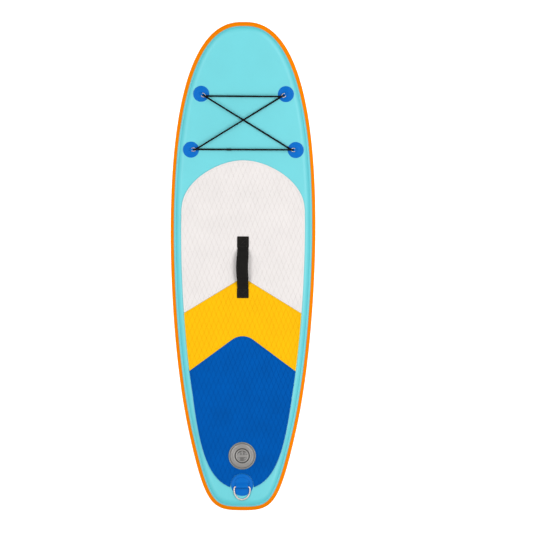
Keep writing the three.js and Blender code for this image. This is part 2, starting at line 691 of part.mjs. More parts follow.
function buildFins() {
  const seat = new THREE.Group();
  seat.position.set(0, FIN_BOX.y, FIN_DEPTH);
  board.add(seat);
  add("fin_box", finBox(), plasticBlack, seat);
  add("centre_fin", centreFin(), finPlastic, seat);
  const pin = rod(2.6, -FIN_BOX.key / 2, FIN_BOX.key / 2, 16).rotateY(Math.PI / 2);
  add("fin_pin", pin.translate(0, FIN_PIN_Y - FIN_BOX.y, -15.7), brass, seat);
  const at = FIN_SCREW_Y - FIN_BOX.y;
  const plate = cut(block([-7.8, -6, -18.4], [7.8, 6, -13.2]), rod(2.3, -30, 0, 16));
  add("fin_nut_plate", plate.translate(0, at, 0), brass, seat);
  const screw = turned([[0, -26.4], [2.2, -26.4], [4.4, -25.6], [4.4, -23.7], [2, -23.7], [2, -8], [0, -8]], 20);
  const driverSlot = block([-5, -0.6, -27], [5, 0.6, -25.4]);
  add("fin_screw", cut(screw, driverSlot).translate(0, at, 0), brass, seat);
  buildSideFin("side_fin_left", -1);
  buildSideFin("side_fin_right", 1);
}

buildHull();
buildPads();
buildBungee();
buildHandle();
buildValve();
buildLeash();
buildFins();

export default board;
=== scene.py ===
"""Inflatable stand up paddleboard: the finished look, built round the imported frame."""
import logging
import math
from dataclasses import dataclass, field
from enum import Enum
from typing import Callable, Iterable, Sequence

import bmesh
import bpy
from mathutils import Matrix, Vector
from mathutils.geometry import interpolate_bezier


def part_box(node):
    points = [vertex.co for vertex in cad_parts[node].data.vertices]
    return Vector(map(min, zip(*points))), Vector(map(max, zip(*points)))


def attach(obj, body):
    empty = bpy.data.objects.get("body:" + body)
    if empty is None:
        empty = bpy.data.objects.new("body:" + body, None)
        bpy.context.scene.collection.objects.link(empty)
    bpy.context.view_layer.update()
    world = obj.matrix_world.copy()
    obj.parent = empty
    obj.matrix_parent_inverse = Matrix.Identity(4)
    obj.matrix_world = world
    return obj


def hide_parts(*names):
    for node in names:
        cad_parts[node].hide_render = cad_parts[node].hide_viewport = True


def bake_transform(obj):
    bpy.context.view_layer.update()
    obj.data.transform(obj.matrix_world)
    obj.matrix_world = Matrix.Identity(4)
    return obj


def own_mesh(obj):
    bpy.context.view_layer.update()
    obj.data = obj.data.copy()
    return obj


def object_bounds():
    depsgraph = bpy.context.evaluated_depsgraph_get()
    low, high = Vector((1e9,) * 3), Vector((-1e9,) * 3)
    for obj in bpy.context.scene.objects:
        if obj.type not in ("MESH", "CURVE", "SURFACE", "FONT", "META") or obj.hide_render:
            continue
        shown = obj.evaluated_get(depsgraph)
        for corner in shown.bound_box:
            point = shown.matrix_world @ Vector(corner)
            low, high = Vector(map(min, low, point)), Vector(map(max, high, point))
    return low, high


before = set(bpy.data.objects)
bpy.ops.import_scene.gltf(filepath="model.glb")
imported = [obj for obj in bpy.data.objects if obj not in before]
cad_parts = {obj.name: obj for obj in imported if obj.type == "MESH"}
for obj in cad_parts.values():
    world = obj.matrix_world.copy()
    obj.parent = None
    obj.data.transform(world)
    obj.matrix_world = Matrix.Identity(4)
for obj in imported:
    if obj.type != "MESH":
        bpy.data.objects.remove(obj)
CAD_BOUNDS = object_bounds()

log = logging.getLogger("paddleboard")

MM = 0.001  # every length is in metres unless it is said to be in millimetres
HULL_THICKNESS = 0.100
HALF_LENGTH = CAD_BOUNDS[1][1]
HALF_WIDTH = CAD_BOUNDS[1][0]
HULL_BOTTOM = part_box("bottom_skin")[0][2]
DECK = HULL_BOTTOM + HULL_THICKNESS
MIDDLE = HULL_BOTTOM + HULL_THICKNESS / 2
ROCKER_START, ROCKER_RISE, ROCKER_POWER = 0.200, 0.062, 2.2
Ring = list[Vector]


class Side(Enum):
    """Which face of the hull a skin covers."""

    DECK = 1
    BOTTOM = -1


def rocker(y: float) -> float:
    """Rise of the hull at a distance along the board.

    Args:
        y: Distance forward of the middle.

    Returns:
        How far the hull has lifted there.
    """
    run = max(0.0, y - ROCKER_START) / (HALF_LENGTH - ROCKER_START)
    return ROCKER_RISE * run ** ROCKER_POWER


def mm(*values: float) -> Vector:
    """A point given in millimetres."""
    return Vector((*values, 0.0)[:3]) * MM


def bezier(knots: Sequence[Sequence[float]], count: int) -> list[Vector]:
    """Points along one cubic curve.

    Args:
        knots: Start, two handles and end, in millimetres.
        count: Number of points, ends included.

    Returns:
        The points in metres, in the plan plane.
    """
    start, first, second, end = (mm(*knot) for knot in knots)
    return interpolate_bezier(start, first, second, end, count)


# ---------------------------------------------------------------- mesh tools


class Shaper:
    """A bmesh being worked on, with the few operations that every piece shares."""

    def __init__(self) -> None:
        """Starts an empty mesh."""
        self.bm = bmesh.new()

    def loop(self, points: Iterable[Vector]) -> list[bmesh.types.BMEdge]:
        """Draws one closed loop of edges through the points."""
        verts = [self.bm.verts.new(point) for point in points]
        return [self.bm.edges.new(pair) for pair in zip(verts, verts[1:] + verts[:1])]

    def skin(self, rings: Sequence[Ring], closed: bool = False, caps: bool = False) -> None:
        """Bridges a row of rings.

        Args:
            rings: Rings with the same number of points.
            closed: Whether the last ring joins the first.
            caps: Whether the end rings are filled.
        """
        loops = [self.loop(ring) for ring in rings]
        following = loops[1:] + (loops[:1] if closed else [])
        for one, other in zip(loops, following):
            bmesh.ops.bridge_loops(self.bm, edges=one + other)
        if caps:
            for edges in (loops[0], loops[-1]):
                bmesh.ops.contextual_create(self.bm, geom=edges)

    def fill(self, loops: Sequence[list[bmesh.types.BMEdge]]) -> list[bmesh.types.BMFace]:
        """Fills a flat outline with holes.

        Args:
            loops: The outline's edges, and those of each hole.

        Returns:
            The faces made.
        """
        edges = [edge for loop in loops for edge in loop]
        made = bmesh.ops.triangle_fill(self.bm, use_beauty=True, use_dissolve=True, edges=edges)
        return [item for item in made["geom"] if isinstance(item, bmesh.types.BMFace)]

    def slice_rows(self, faces: Iterable[bmesh.types.BMFace], step: float = 0.025) -> None:
        """Cuts faces across the board over the curved nose, so that they can follow the rocker.

        Args:
            faces: The flat faces to cut.
            step: Distance between cuts.
        """
        faces = list(faces)
        y = ROCKER_START
        top = max((vert.co.y for face in faces for vert in face.verts), default=0.0)
        while y < top:
            geom = list({item for face in faces for item in (face, *face.edges, *face.verts)})
            made = bmesh.ops.bisect_plane(self.bm, geom=geom, plane_co=(0, y, 0), plane_no=(0, 1, 0))
            faces = [item for item in made["geom"] if isinstance(item, bmesh.types.BMFace)]
            y += step

    def follow_rocker(self) -> None:
        """Lifts every point by the rocker."""
        for vert in self.bm.verts:
            vert.co.z += rocker(vert.co.y)

    def box(self, low: Vector, high: Vector, bevel: float = 0.0, segments: int = 2) -> None:
        """Adds a box between two corners, with rounded edges.

        Args:
            low: Lowest corner.
            high: Highest corner.
            bevel: Edge radius.
            segments: Steps round each edge.
        """
        matrix = Matrix.Translation((low + high) / 2) @ Matrix.Diagonal((*(high - low), 1.0))
        verts = bmesh.ops.create_cube(self.bm, size=1.0, matrix=matrix)["verts"]
        if bevel:
            self.round_edges({edge for vert in verts for edge in vert.link_edges}, bevel, segments)

    def round_edges(self, edges: Iterable[bmesh.types.BMEdge], radius: float, segments: int) -> None:
        """Rounds some edges."""
        bmesh.ops.bevel(self.bm, geom=list(edges), offset=radius, segments=segments, profile=0.5,
                        affect="EDGES", material=-1, offset_type="OFFSET", clamp_overlap=True)

    def plate(self, low: Vector, high: Vector, corner: float, segments: int) -> None:
        """Makes a plate whose upright corners are round, as the first thing in the mesh.

        Args:
            low: Lowest corner.
            high: Highest corner.
            corner: Corner radius.
            segments: Steps round each corner.
        """
        self.box(low, high)
        half = (high.z - low.z) / 2
        self.round_edges([edge for edge in self.bm.edges
                          if abs(edge.verts[0].co.z - edge.verts[1].co.z) > half], corner, segments)

    def repeat_round(self, count: int, add: Callable[[], None], first: float = 0.0) -> None:
        """Adds the same shape several times round Z.

        Args:
            count: How many there are.
            add: Adds the shape where it stands before its turn.
            first: Turn of the first one, in degrees.
        """
        for i in range(count):
            start = len(self.bm.verts)
            add()
            self.bm.verts.ensure_lookup_table()
            turn = Matrix.Rotation(math.radians(first) + math.tau * i / count, 4, "Z")
            bmesh.ops.transform(self.bm, matrix=turn, verts=self.bm.verts[start:])

    def turned(self, profile: Sequence[tuple[float, float]], steps: int = 96) -> None:
        """Spins a profile about Z.

        Args:
            profile: Radius and height of each point, in millimetres.
            steps: Steps round the full turn.
        """
        verts = [self.bm.verts.new(mm(radius, 0, height)) for radius, height in profile]
        edges = [self.bm.edges.new(pair) for pair in zip(verts, verts[1:])]
        if profile[0][0] > 0:
            edges.append(self.bm.edges.new((verts[-1], verts[0])))
        bmesh.ops.spin(self.bm, geom=verts + edges, axis=(0, 0, 1), cent=(0, 0, 0), steps=steps,
                       angle=math.tau, use_merge=True)
        bmesh.ops.remove_doubles(self.bm, verts=self.bm.verts, dist=1e-6)

    def tube(self, route: Sequence[Vector], radius: float, sides: int = 14,
             closed: bool = True) -> None:
        """Carries a round section along a route, and keeps the route's length and angle on each point.

        Args:
            route: Points of the centreline.
            radius: Radius of the section.
            sides: Sides of the section.
            closed: Whether the route joins up.
        """
        count = len(route)
        last = count if closed else count - 1
        tangents = [(route[(i + 1) % count if closed else min(i + 1, last)]
                     - route[i - 1 if closed or i else 0]).normalized() for i in range(count)]
        side = tangents[0].orthogonal().normalized()
        sides_at = [side]
        for before, after in zip(tangents, tangents[1:] + tangents[:1]):
            side = before.rotation_difference(after) @ side
            sides_at.append(side)
        twist = 0.0
        if closed:
            across = tangents[0].cross(sides_at[-1])
            twist = math.atan2(sides_at[0].dot(across), sides_at[0].dot(sides_at[-1]))
        rings, travelled = [], 0.0
        for i, point in enumerate(route):
            turn = twist * i / count
            out = sides_at[i]
            along = tangents[i].cross(out)
            rings.append([point + radius * (math.cos(a + turn) * out + math.sin(a + turn) * along)
                          for a in (math.tau * k / sides for k in range(sides))])
        start = len(self.bm.verts)
        self.skin(rings, closed=closed, caps=not closed)
        layers = self.bm.verts.layers.float_vector
        layer = layers.get("route") or layers.new("route")
        self.bm.verts.ensure_lookup_table()
        for i in range(count):
            for k in range(sides):
                angle = math.tau * k / sides
                vert = self.bm.verts[start + i * sides + k]
                vert[layer] = (travelled, math.cos(angle), math.sin(angle))
            travelled += (route[(i + 1) % count] - route[i]).length

    def stitches(self, line: Sequence[Vector], pitch: float = 0.0044,
                 up: Vector = Vector((0, 0, 1))) -> None:
        """Lays a row of thread stitches along a line, each a small flattened bead.

        Args:
            line: Corners of the sewn line.
            pitch: Length of one stitch and its gap.
            up: Direction out of the cloth.
        """
        for start, end in zip(line, line[1:]):
            along = end - start
            count = max(1, round(along.length / pitch))
            direction = along.normalized()
            basis = Matrix((direction, up.cross(direction), up)).transposed().to_4x4()
            for k in range(count):
                centre = start + along * ((k + 0.5) / count)
                size = Matrix.Diagonal((0.36 * along.length / count, 0.00045, 0.00038, 1.0))
                bmesh.ops.create_icosphere(self.bm, subdivisions=1, radius=1.0,
                                           matrix=Matrix.Translation(centre) @ basis @ size)


@dataclass
class Piece:
    """One finished object: its mesh, what it is made of and what it moves with."""

    name: str
    shaper: Shaper
    material: bpy.types.Material
    slot: str
    body: str = "board"
    stands_for: tuple[str, ...] = ()
    place: Matrix | None = None
    sharp: float = 38.0
    wall: float = 0.0
    bevel: float = 0.0
    keep_normals: bool = False
    blend_with: tuple[str, Vector, Vector] | None = None

    def make(self) -> bpy.types.Object:
        """Writes the mesh into the scene and joins it to its body; a piece set to blend with another
        body is only baked in place.

        Returns:
            The finished object.
        """
        bm = self.shaper.bm
        bmesh.ops.remove_doubles(bm, verts=bm.verts, dist=2e-7)
        if not self.keep_normals:
            bmesh.ops.recalc_face_normals(bm, faces=bm.faces)
        if self.place is not None:
            bmesh.ops.transform(bm, matrix=self.place, verts=bm.verts)
            if self.place.determinant() < 0:
                bmesh.ops.reverse_faces(bm, faces=bm.faces)
        for face in bm.faces:
            face.smooth = True
        mesh = bpy.data.meshes.new(self.name)
        bm.to_mesh(mesh)
        bm.free()
        mesh.set_sharp_from_angle(angle=math.radians(self.sharp))
        obj = bpy.data.objects.new(self.name, mesh)
        bpy.context.scene.collection.objects.link(obj)
        mesh.materials.append(self.material)
        self._modifiers(obj)
        if self.stands_for:
            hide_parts(*self.stands_for)
        if self.blend_with:
            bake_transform(obj)
        else:
            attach(obj, self.body)
        log.info("%s: %d faces on %s", self.name, len(mesh.polygons), self.body)
        return obj

    def _modifiers(self, obj: bpy.types.Object) -> None:
        """Adds the wall thickness and edge rounding that the piece asks for.

        Args:
            obj: The piece's object.
        """
        if self.wall:
            solid = obj.modifiers.new("wall", "SOLIDIFY")
            solid.thickness = self.wall
            solid.offset = -1.0
        if self.bevel:
            edge = obj.modifiers.new("edge", "BEVEL")
            edge.width = self.bevel
            edge.segments = 2
            edge.limit_method = "ANGLE"
            edge.harden_normals = False


# ---------------------------------------------------------------- materials


def linear(red: int, green: int, blue: int) -> tuple[float, float, float, float]:
    """A screen colour as linear light.

    Args:
        red: Red, from 0 to 255.
        green: Green, from 0 to 255.
        blue: Blue, from 0 to 255.

    Returns:
        The colour as a shader takes it, with full alpha.
    """
    def channel(value: int) -> float:
        """One channel, from 0 to 1."""
        level = value / 255
        return level / 12.92 if level <= 0.04045 else ((level + 0.055) / 1.055) ** 2.4
    return (channel(red), channel(green), channel(blue), 1.0)


class EffectGroup:
    """A shader node group with named inputs and outputs, built once and placed in many materials."""

    def __init__(self, name: str, inputs: dict[str, float], outputs: Sequence[str]) -> None:
        """Makes the group's sockets.

        Args:
            name: Name of the group.
            inputs: Value inputs and their defaults; a Vector input always comes first.
            outputs: Names of the value outputs.
        """
        self.tree = bpy.data.node_groups.new(name, "ShaderNodeTree")
        self.tree.interface.new_socket("Vector", in_out="INPUT", socket_type="NodeSocketVector")
        for key, value in inputs.items():
            socket = self.tree.interface.new_socket(key, in_out="INPUT", socket_type="NodeSocketFloat")
            socket.default_value = value
        for key in outputs:
            self.tree.interface.new_socket(key, in_out="OUTPUT", socket_type="NodeSocketFloat")
        self.source = self.tree.nodes.new("NodeGroupInput")
        self.sink = self.tree.nodes.new("NodeGroupOutput")

    def node(self, kind: str, links: dict[str | int, object] | None = None,
             **settings: object) -> bpy.types.Node:
        """Adds a node.

        Args:
            kind: Type of the node.
            links: Its input sockets, and the socket or value that each takes.
            **settings: Properties of the node.

        Returns:
            The node.
        """
        made = self.tree.nodes.new(kind)
        for key, value in settings.items():
            setattr(made, key, value)
        for key, value in (links or {}).items():
            if isinstance(value, bpy.types.NodeSocket):
                self.tree.links.new(value, made.inputs[key])
            else:
                made.inputs[key].default_value = value
        return made

    def math(self, operation: str, one: object, two: object = 0.0) -> bpy.types.NodeSocket:
        """A Math node's result."""
        return self.node("ShaderNodeMath", {0: one, 1: two}, operation=operation).outputs[0]

    def noise(self, scale: object, detail: float = 2.0, vector: object = None) -> bpy.types.NodeSocket:
        """Noise on the group's vector.

        Args:
            scale: Scale of the noise, a value or a socket.
            detail: Octaves of detail.
            vector: What it reads instead of the group's vector.

        Returns:
            The noise's value.
        """
        vector = vector or self.source.outputs["Vector"]
        inputs = {"Vector": vector, "Scale": scale, "Detail": detail}
        return self.node("ShaderNodeTexNoise", inputs).outputs[0]

    def out(self, **values: bpy.types.NodeSocket) -> None:
        """Links results to the group's outputs; an underscore stands for a space."""
        for key, value in values.items():
            self.tree.links.new(value, self.sink.inputs[key.replace("_", " ")])


def coated_cloth_group() -> EffectGroup:
    """Woven base cloth telegraphing through a smooth coating, with slow unevenness.

    Returns:
        The group, with a height and a mottle output.
    """
    group = EffectGroup("coated_cloth", {"Threads": 900.0, "Patch Scale": 9.0}, ("Height", "Mottle"))
    parts = group.node("ShaderNodeSeparateXYZ", {0: group.source.outputs["Vector"]})
    threads = group.source.outputs["Threads"]
    warp = group.math("SINE", group.math("MULTIPLY", parts.outputs[0], threads))
    weft = group.math("SINE", group.math("MULTIPLY", parts.outputs[1], threads))
    weave = group.math("MULTIPLY", warp, weft)
    slow = group.noise(group.source.outputs["Patch Scale"], 3.0)
    fine = group.noise(420.0, 2.0)
    height = group.math("ADD", group.math("MULTIPLY", weave, 0.35), fine)
    group.out(Height=height, Mottle=slow)
    return group


def foam_group() -> EffectGroup:
    """Closed-cell foam: fine pits and a slow change of shade.

    Returns:
        The group, with a height and a mottle output.
    """
    group = EffectGroup("foam_cells", {"Cells": 1400.0, "Patch Scale": 14.0}, ("Height", "Mottle"))
    inputs = {"Vector": group.source.outputs["Vector"], "Scale": group.source.outputs["Cells"]}
    cells = group.node("ShaderNodeTexVoronoi", inputs).outputs["Distance"]
    fine = group.noise(900.0, 2.0)
    slow = group.noise(group.source.outputs["Patch Scale"], 4.0)
    group.out(Height=group.math("ADD", group.math("MULTIPLY", cells, 0.6), fine), Mottle=slow)
    return group


def webbing_group() -> EffectGroup:
    """Narrow ribs of woven webbing: herringbone yarns running along Y.

    Returns:
        The group, with a height and a mottle output.
    """
    group = EffectGroup("webbing_weave", {"Ribs": 2600.0}, ("Height", "Mottle"))
    parts = group.node("ShaderNodeSeparateXYZ", {0: group.source.outputs["Vector"]})
    ribs = group.source.outputs["Ribs"]
    across = group.math("MULTIPLY", parts.outputs[0], ribs)
    along = group.math("MULTIPLY", parts.outputs[1], group.math("MULTIPLY", ribs, 1.3))
    slant = group.math("MULTIPLY", group.math("SINE", across), 1.6)
    yarn = group.math("SINE", group.math("ADD", along, slant))
    rib = group.math("MULTIPLY", group.math("COSINE", across), 0.5)
    fuzz = group.noise(1500.0, 2.0)
    height = group.math("ADD", group.math("MULTIPLY", group.math("ADD", yarn, rib), 0.5), fuzz)
    group.out(Height=height, Mottle=group.noise(60.0, 3.0))
    return group


def moulded_group() -> EffectGroup:
    """Fine spark-eroded grain of moulded plastic, with faint flow marks.

    Returns:
        The group, with a height and a mottle output.
    """
    group = EffectGroup("moulded_grain", {"Grain": 1600.0, "Flow": 22.0}, ("Height", "Mottle"))
    stretched = group.node("ShaderNodeMapping",
                           {0: group.source.outputs["Vector"], 3: (1.0, 0.35, 1.0)})
    flow = group.noise(group.source.outputs["Flow"], 4.0, stretched.outputs[0])
    group.out(Height=group.noise(group.source.outputs["Grain"], 3.0), Mottle=flow)
    return group


def metal_group() -> EffectGroup:
    """Polishing lines and small handling scratches.

    Returns:
        The group, with a height and a mottle output.
    """
    group = EffectGroup("polish_lines", {"Lines": 1300.0}, ("Height", "Mottle"))
    stretched = group.node("ShaderNodeMapping",
                           {0: group.source.outputs["Vector"], 3: (0.06, 1.0, 1.0)})
    lines = group.noise(group.source.outputs["Lines"], 2.0, stretched.outputs[0])
    group.out(Height=lines, Mottle=group.noise(180.0, 4.0))
    return group


def braid_group() -> EffectGroup:
    """Crossed strands of a braided cord cover, read from the cord's own route.

    Returns:
        The group, with a height and a mottle output.
    """
    group = EffectGroup("braid", {"Lay": 900.0, "Strands": 8.0}, ("Height", "Mottle"))
    parts = group.node("ShaderNodeSeparateXYZ", {0: group.source.outputs["Vector"]})
    angle = group.math("ARCTAN2", parts.outputs[2], parts.outputs[1])
    around = group.math("MULTIPLY", angle, group.source.outputs["Strands"])
    along = group.math("MULTIPLY", parts.outputs[0], group.source.outputs["Lay"])
    right = group.math("SINE", group.math("ADD", along, around))
    left = group.math("SINE", group.math("SUBTRACT", along, around))
    group.out(Height=group.math("MAXIMUM", right, left), Mottle=group.math("MULTIPLY", right, left))
    return group


@dataclass(frozen=True)
class Finish:
    """A surface finish: colours, gloss and the grain that breaks them up."""

    name: str
    colour: tuple[float, float, float, float]
    effect: EffectGroup
    shade: float = 0.9
    roughness: float = 0.45
    roughness_spread: float = 0.08
    bump: float = 0.1
    bump_distance: float = 0.0002
    metallic: float = 0.0
    coat: float = 0.0
    coat_roughness: float = 0.2
    coat_ior: float = 1.5
    specular: float = 0.5
    settings: dict[str, float] = field(default_factory=dict)
    sheen: float = 0.0
    attribute: str = ""
    # painted shade: a darker colour for what lies low over the deck, and the two heights over the deck
    # between which it fades into the finish's own colour
    painted_recess_shade: tuple[float, float, float, float] | None = None
    painted_shade_heights: tuple[float, float] = (0.0, 0.001)

    def _paint_recess_shade(self, tree: bpy.types.ShaderNodeTree, vector: bpy.types.NodeSocket,
                       colour: bpy.types.NodeSocket) -> bpy.types.NodeSocket:
        """Paints shade into what lies low over the deck: a moulded part's grooves and recesses take a
        darker painted shade colour.

        Args:
            tree: The material's node tree.
            vector: The surface point.
            colour: The colour above the recesses.

        Returns:
            The colour to use.
        """
        if self.painted_recess_shade is None:
            return colour
        parts = tree.nodes.new("ShaderNodeSeparateXYZ")
        tree.links.new(vector, parts.inputs[0])
        height = tree.nodes.new("ShaderNodeMapRange")
        height.inputs["From Min"].default_value = DECK + self.painted_shade_heights[0]
        height.inputs["From Max"].default_value = DECK + self.painted_shade_heights[1]
        tree.links.new(parts.outputs["Z"], height.inputs["Value"])
        # painted shade colour below the lower height, the finish's own colour above the upper one
        mix = tree.nodes.new("ShaderNodeMix")
        mix.data_type = "RGBA"
        mix.inputs[6].default_value = self.painted_recess_shade
        tree.links.new(height.outputs[0], mix.inputs[0])
        tree.links.new(colour, mix.inputs[7])
        return mix.outputs[2]

    def material(self) -> bpy.types.Material:
        """Builds the material.

        Returns:
            A material with its colour, gloss and bump driven by the effect's outputs.
        """
        made = bpy.data.materials.new(self.name)
        made.use_nodes = True
        made.diffuse_color = self.colour
        nodes, links = made.node_tree.nodes, made.node_tree.links
        shader = nodes["Principled BSDF"]
        if self.attribute:
            source = nodes.new("ShaderNodeAttribute")
            source.attribute_name = self.attribute
            vector = source.outputs["Vector"]
        else:
            vector = nodes.new("ShaderNodeTexCoord").outputs["Object"]
        group = nodes.new("ShaderNodeGroup")
        group.node_tree = self.effect.tree
        links.new(vector, group.inputs["Vector"])
        for key, value in self.settings.items():
            group.inputs[key].default_value = value
        darker = tuple(channel * self.shade for channel in self.colour[:3]) + (1.0,)
        ramp = nodes.new("ShaderNodeValToRGB")
        ramp.color_ramp.elements[0].position = 0.3
        ramp.color_ramp.elements[0].color = darker
        ramp.color_ramp.elements[1].position = 0.7
        ramp.color_ramp.elements[1].color = self.colour
        links.new(group.outputs["Mottle"], ramp.inputs[0])
        # painted shade in the low recesses, where the finish asks for it
        colour = self._paint_recess_shade(made.node_tree, vector, ramp.outputs[0])
        links.new(colour, shader.inputs["Base Color"])
        spread = nodes.new("ShaderNodeMapRange")
        spread.inputs["To Min"].default_value = self.roughness - self.roughness_spread
        spread.inputs["To Max"].default_value = self.roughness + self.roughness_spread
        links.new(group.outputs["Mottle"], spread.inputs["Value"])
        links.new(spread.outputs[0], shader.inputs["Roughness"])
        bump = nodes.new("ShaderNodeBump")
        bump.inputs["Strength"].default_value = self.bump
        bump.inputs["Distance"].default_value = self.bump_distance
        links.new(group.outputs["Height"], bump.inputs["Height"])
        links.new(bump.outputs[0], shader.inputs["Normal"])
        shader.inputs["Metallic"].default_value = self.metallic
        shader.inputs["Coat Weight"].default_value = self.coat
        shader.inputs["Coat Roughness"].default_value = self.coat_roughness
        shader.inputs["Coat IOR"].default_value = self.coat_ior
        shader.inputs["Specular IOR Level"].default_value = self.specular
        shader.inputs["Sheen Weight"].default_value = self.sheen
        shader.inputs["Sheen Roughness"].default_value = 0.5
        return made


class Palette:
    """Every finish on the board, built once."""

    def __init__(self) -> None:
        """Builds the effect groups and the materials."""
        cloth, foam, webbing = coated_cloth_group(), foam_group(), webbing_group()
        moulded, metal, braid = moulded_group(), metal_group(), braid_group()
        self.hull = Finish("coated_cloth_turquoise", linear(76, 196, 205), cloth, shade=0.96,
                           roughness=0.42, bump=0.10, specular=0.25, coat=1.0,
                           coat_roughness=0.5, coat_ior=1.75).material()
        self.tape = Finish("seam_tape_turquoise", linear(104, 206, 216), cloth, shade=0.96,
                           roughness=0.40, bump=0.10, specular=0.25, coat=0.5).material()
        self.rail = Finish("coated_cloth_orange", linear(245, 131, 4), cloth, shade=0.95,
                           roughness=0.60, bump=0.12, specular=0.0).material()
        self.pad_white = Finish("foam_white", linear(224, 219, 217), foam, shade=0.95, roughness=0.75,
                                bump=0.35, specular=0.2).material()
        self.pad_yellow = Finish("foam_yellow", linear(241, 183, 8), foam, shade=0.94, roughness=0.8,
                                 bump=0.35, specular=0.06).material()
        self.pad_blue = Finish("foam_blue", linear(0, 84, 168), foam, shade=0.88, roughness=0.8,
                               bump=0.35, specular=0.03).material()
        self.patch = Finish("moulded_blue", linear(2, 104, 192), moulded, shade=0.92, roughness=0.34,
                            bump=0.10, specular=0.08).material()
        self.webbing = Finish("webbing_black", linear(26, 24, 22), webbing, shade=0.7, roughness=0.85,
                              bump=0.6, sheen=0.03, specular=0.12).material()
        self.thread = Finish("sewing_thread", linear(62, 58, 53), webbing, shade=0.85, roughness=0.6,
                             bump=0.3, specular=0.2, settings={"Ribs": 9000.0}).material()
        self.cord = Finish("braided_cord", linear(20, 16, 15), braid, shade=0.55, roughness=0.7,
                           bump=0.8, bump_distance=0.0004, specular=0.12, attribute="route").material()
        self.sleeve = Finish("shrink_sleeve", linear(22, 19, 18), moulded, shade=0.8, roughness=0.55,
                             bump=0.2, specular=0.12).material()
        # painted shade: the valve's grooves and recesses below 2.6 mm over the deck are coloured a
        # darker grey, which fades into its own grey by 3.6 mm
        self.valve = Finish("moulded_grey", linear(143, 140, 137), moulded, shade=0.84, roughness=0.30,
                            bump=0.08, coat=0.9, coat_roughness=0.14, painted_recess_shade=linear(92, 90, 88),
                            painted_shade_heights=(0.0026, 0.0036)).material()
        self.black = Finish("moulded_black", linear(32, 33, 35), moulded, shade=0.8, roughness=0.45,
                            bump=0.2).material()
        self.fin = Finish("fin_nylon", linear(38, 40, 45), moulded, shade=0.82, roughness=0.36,
                          bump=0.15, settings={"Flow": 9.0}).material()
        self.rubber = Finish("seal_rubber", linear(26, 26, 26), moulded, shade=0.8, roughness=0.65,
                             bump=0.25).material()
        self.steel = Finish("polished_steel", linear(222, 206, 199), metal, shade=0.93, roughness=0.42,
                            roughness_spread=0.06, bump=0.05, metallic=1.0).material()
        self.brass = Finish("turned_brass", linear(214, 172, 92), metal, shade=0.85, roughness=0.28,
                            bump=0.08, metallic=1.0).material()
        self.thread_cloth = Finish("drop_stitch_cloth", linear(228, 226, 218), webbing, shade=0.9,
                                   roughness=0.85, bump=0.5, settings={"Ribs": 1500.0}).material()

    def dress_frame(self) -> None:
        """Gives the plain frame parts that still show their own finish."""
        dressed = {"drop_stitch_core": self.thread_cloth, "valve_nut": self.valve,
                   "valve_stem": self.black,
                   "valve_seal": self.rubber, "valve_cap_seal": self.rubber,
                   "bungee_sleeve": self.sleeve, "fin_pin": self.brass, "fin_nut_plate": self.brass,
                   "fin_screw": self.brass}
        for node, material in dressed.items():
            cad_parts[node].material_slots[0].material = material
            log.info("%s keeps its own shape", node)


# ---------------------------------------------------------------- hull


@dataclass(frozen=True)
class Outline:
    """The board's plan outline: three curves down one side, mirrored on the other, in millimetres."""

    nose_handle: float = 58.4
    shoulder_handle: float = 925.2
    widest: float = 135.6
    steps: tuple[int, int, int] = (70, 26, 40)

    def stations(self) -> list[tuple[Vector, Vector]]:
        """Walks the outline from the nose round the right side.

        Returns:
            Each point with its inward direction.
        """
        length, width = HALF_LENGTH / MM, HALF_WIDTH / MM
        curves = (
            [(0, length), (self.nose_handle, length), (width, self.shoulder_handle),
             (width, self.widest)],
            [(width, self.widest), (width, -4.4), (261.0, -352.1), (199.5, -625.4)],
            [(199.5, -625.4), (137.3, -902.4), (112, -length), (0, -length)],
        )
        right = [Vector((0, HALF_LENGTH, 0))]
        for knots, steps in zip(curves, self.steps):
            right += bezier(knots, steps + 1)[1:]
        pairs = []
        for i, point in enumerate(right):
            along = (right[min(i + 1, len(right) - 1)] - right[max(i - 1, 0)]).normalized()
            pairs.append((point, Vector((along.y, -along.x, 0))))
        pairs[0] = (right[0], Vector((0, -1, 0)))
        pairs[-1] = (Vector((0, -HALF_LENGTH, 0)), Vector((0, 1, 0)))
        left = [(Vector((-p.x, p.y, 0)), Vector((-n.x, n.y, 0))) for p, n in reversed(pairs[1:-1])]
        return pairs + left

    def inset(self, distance: float) -> Ring:
        """The outline moved inwards."""
        return [point + inward * distance for point, inward in self.stations()]

    def half_width(self, y: float, inset: float) -> float:
        """Half the board's width.

        Args:
            y: Distance along the board.
            inset: How far in from the edge it is measured.

        Returns:
            The half width there.
        """
        ring = self.inset(inset)
        half = ring[:len(ring) // 2 + 1]
        for one, other in zip(half, half[1:]):
            if one.y >= y >= other.y:
                part = (one.y - y) / max(one.y - other.y, 1e-9)
                return one.x + (other.x - one.x) * part
        return 0.0


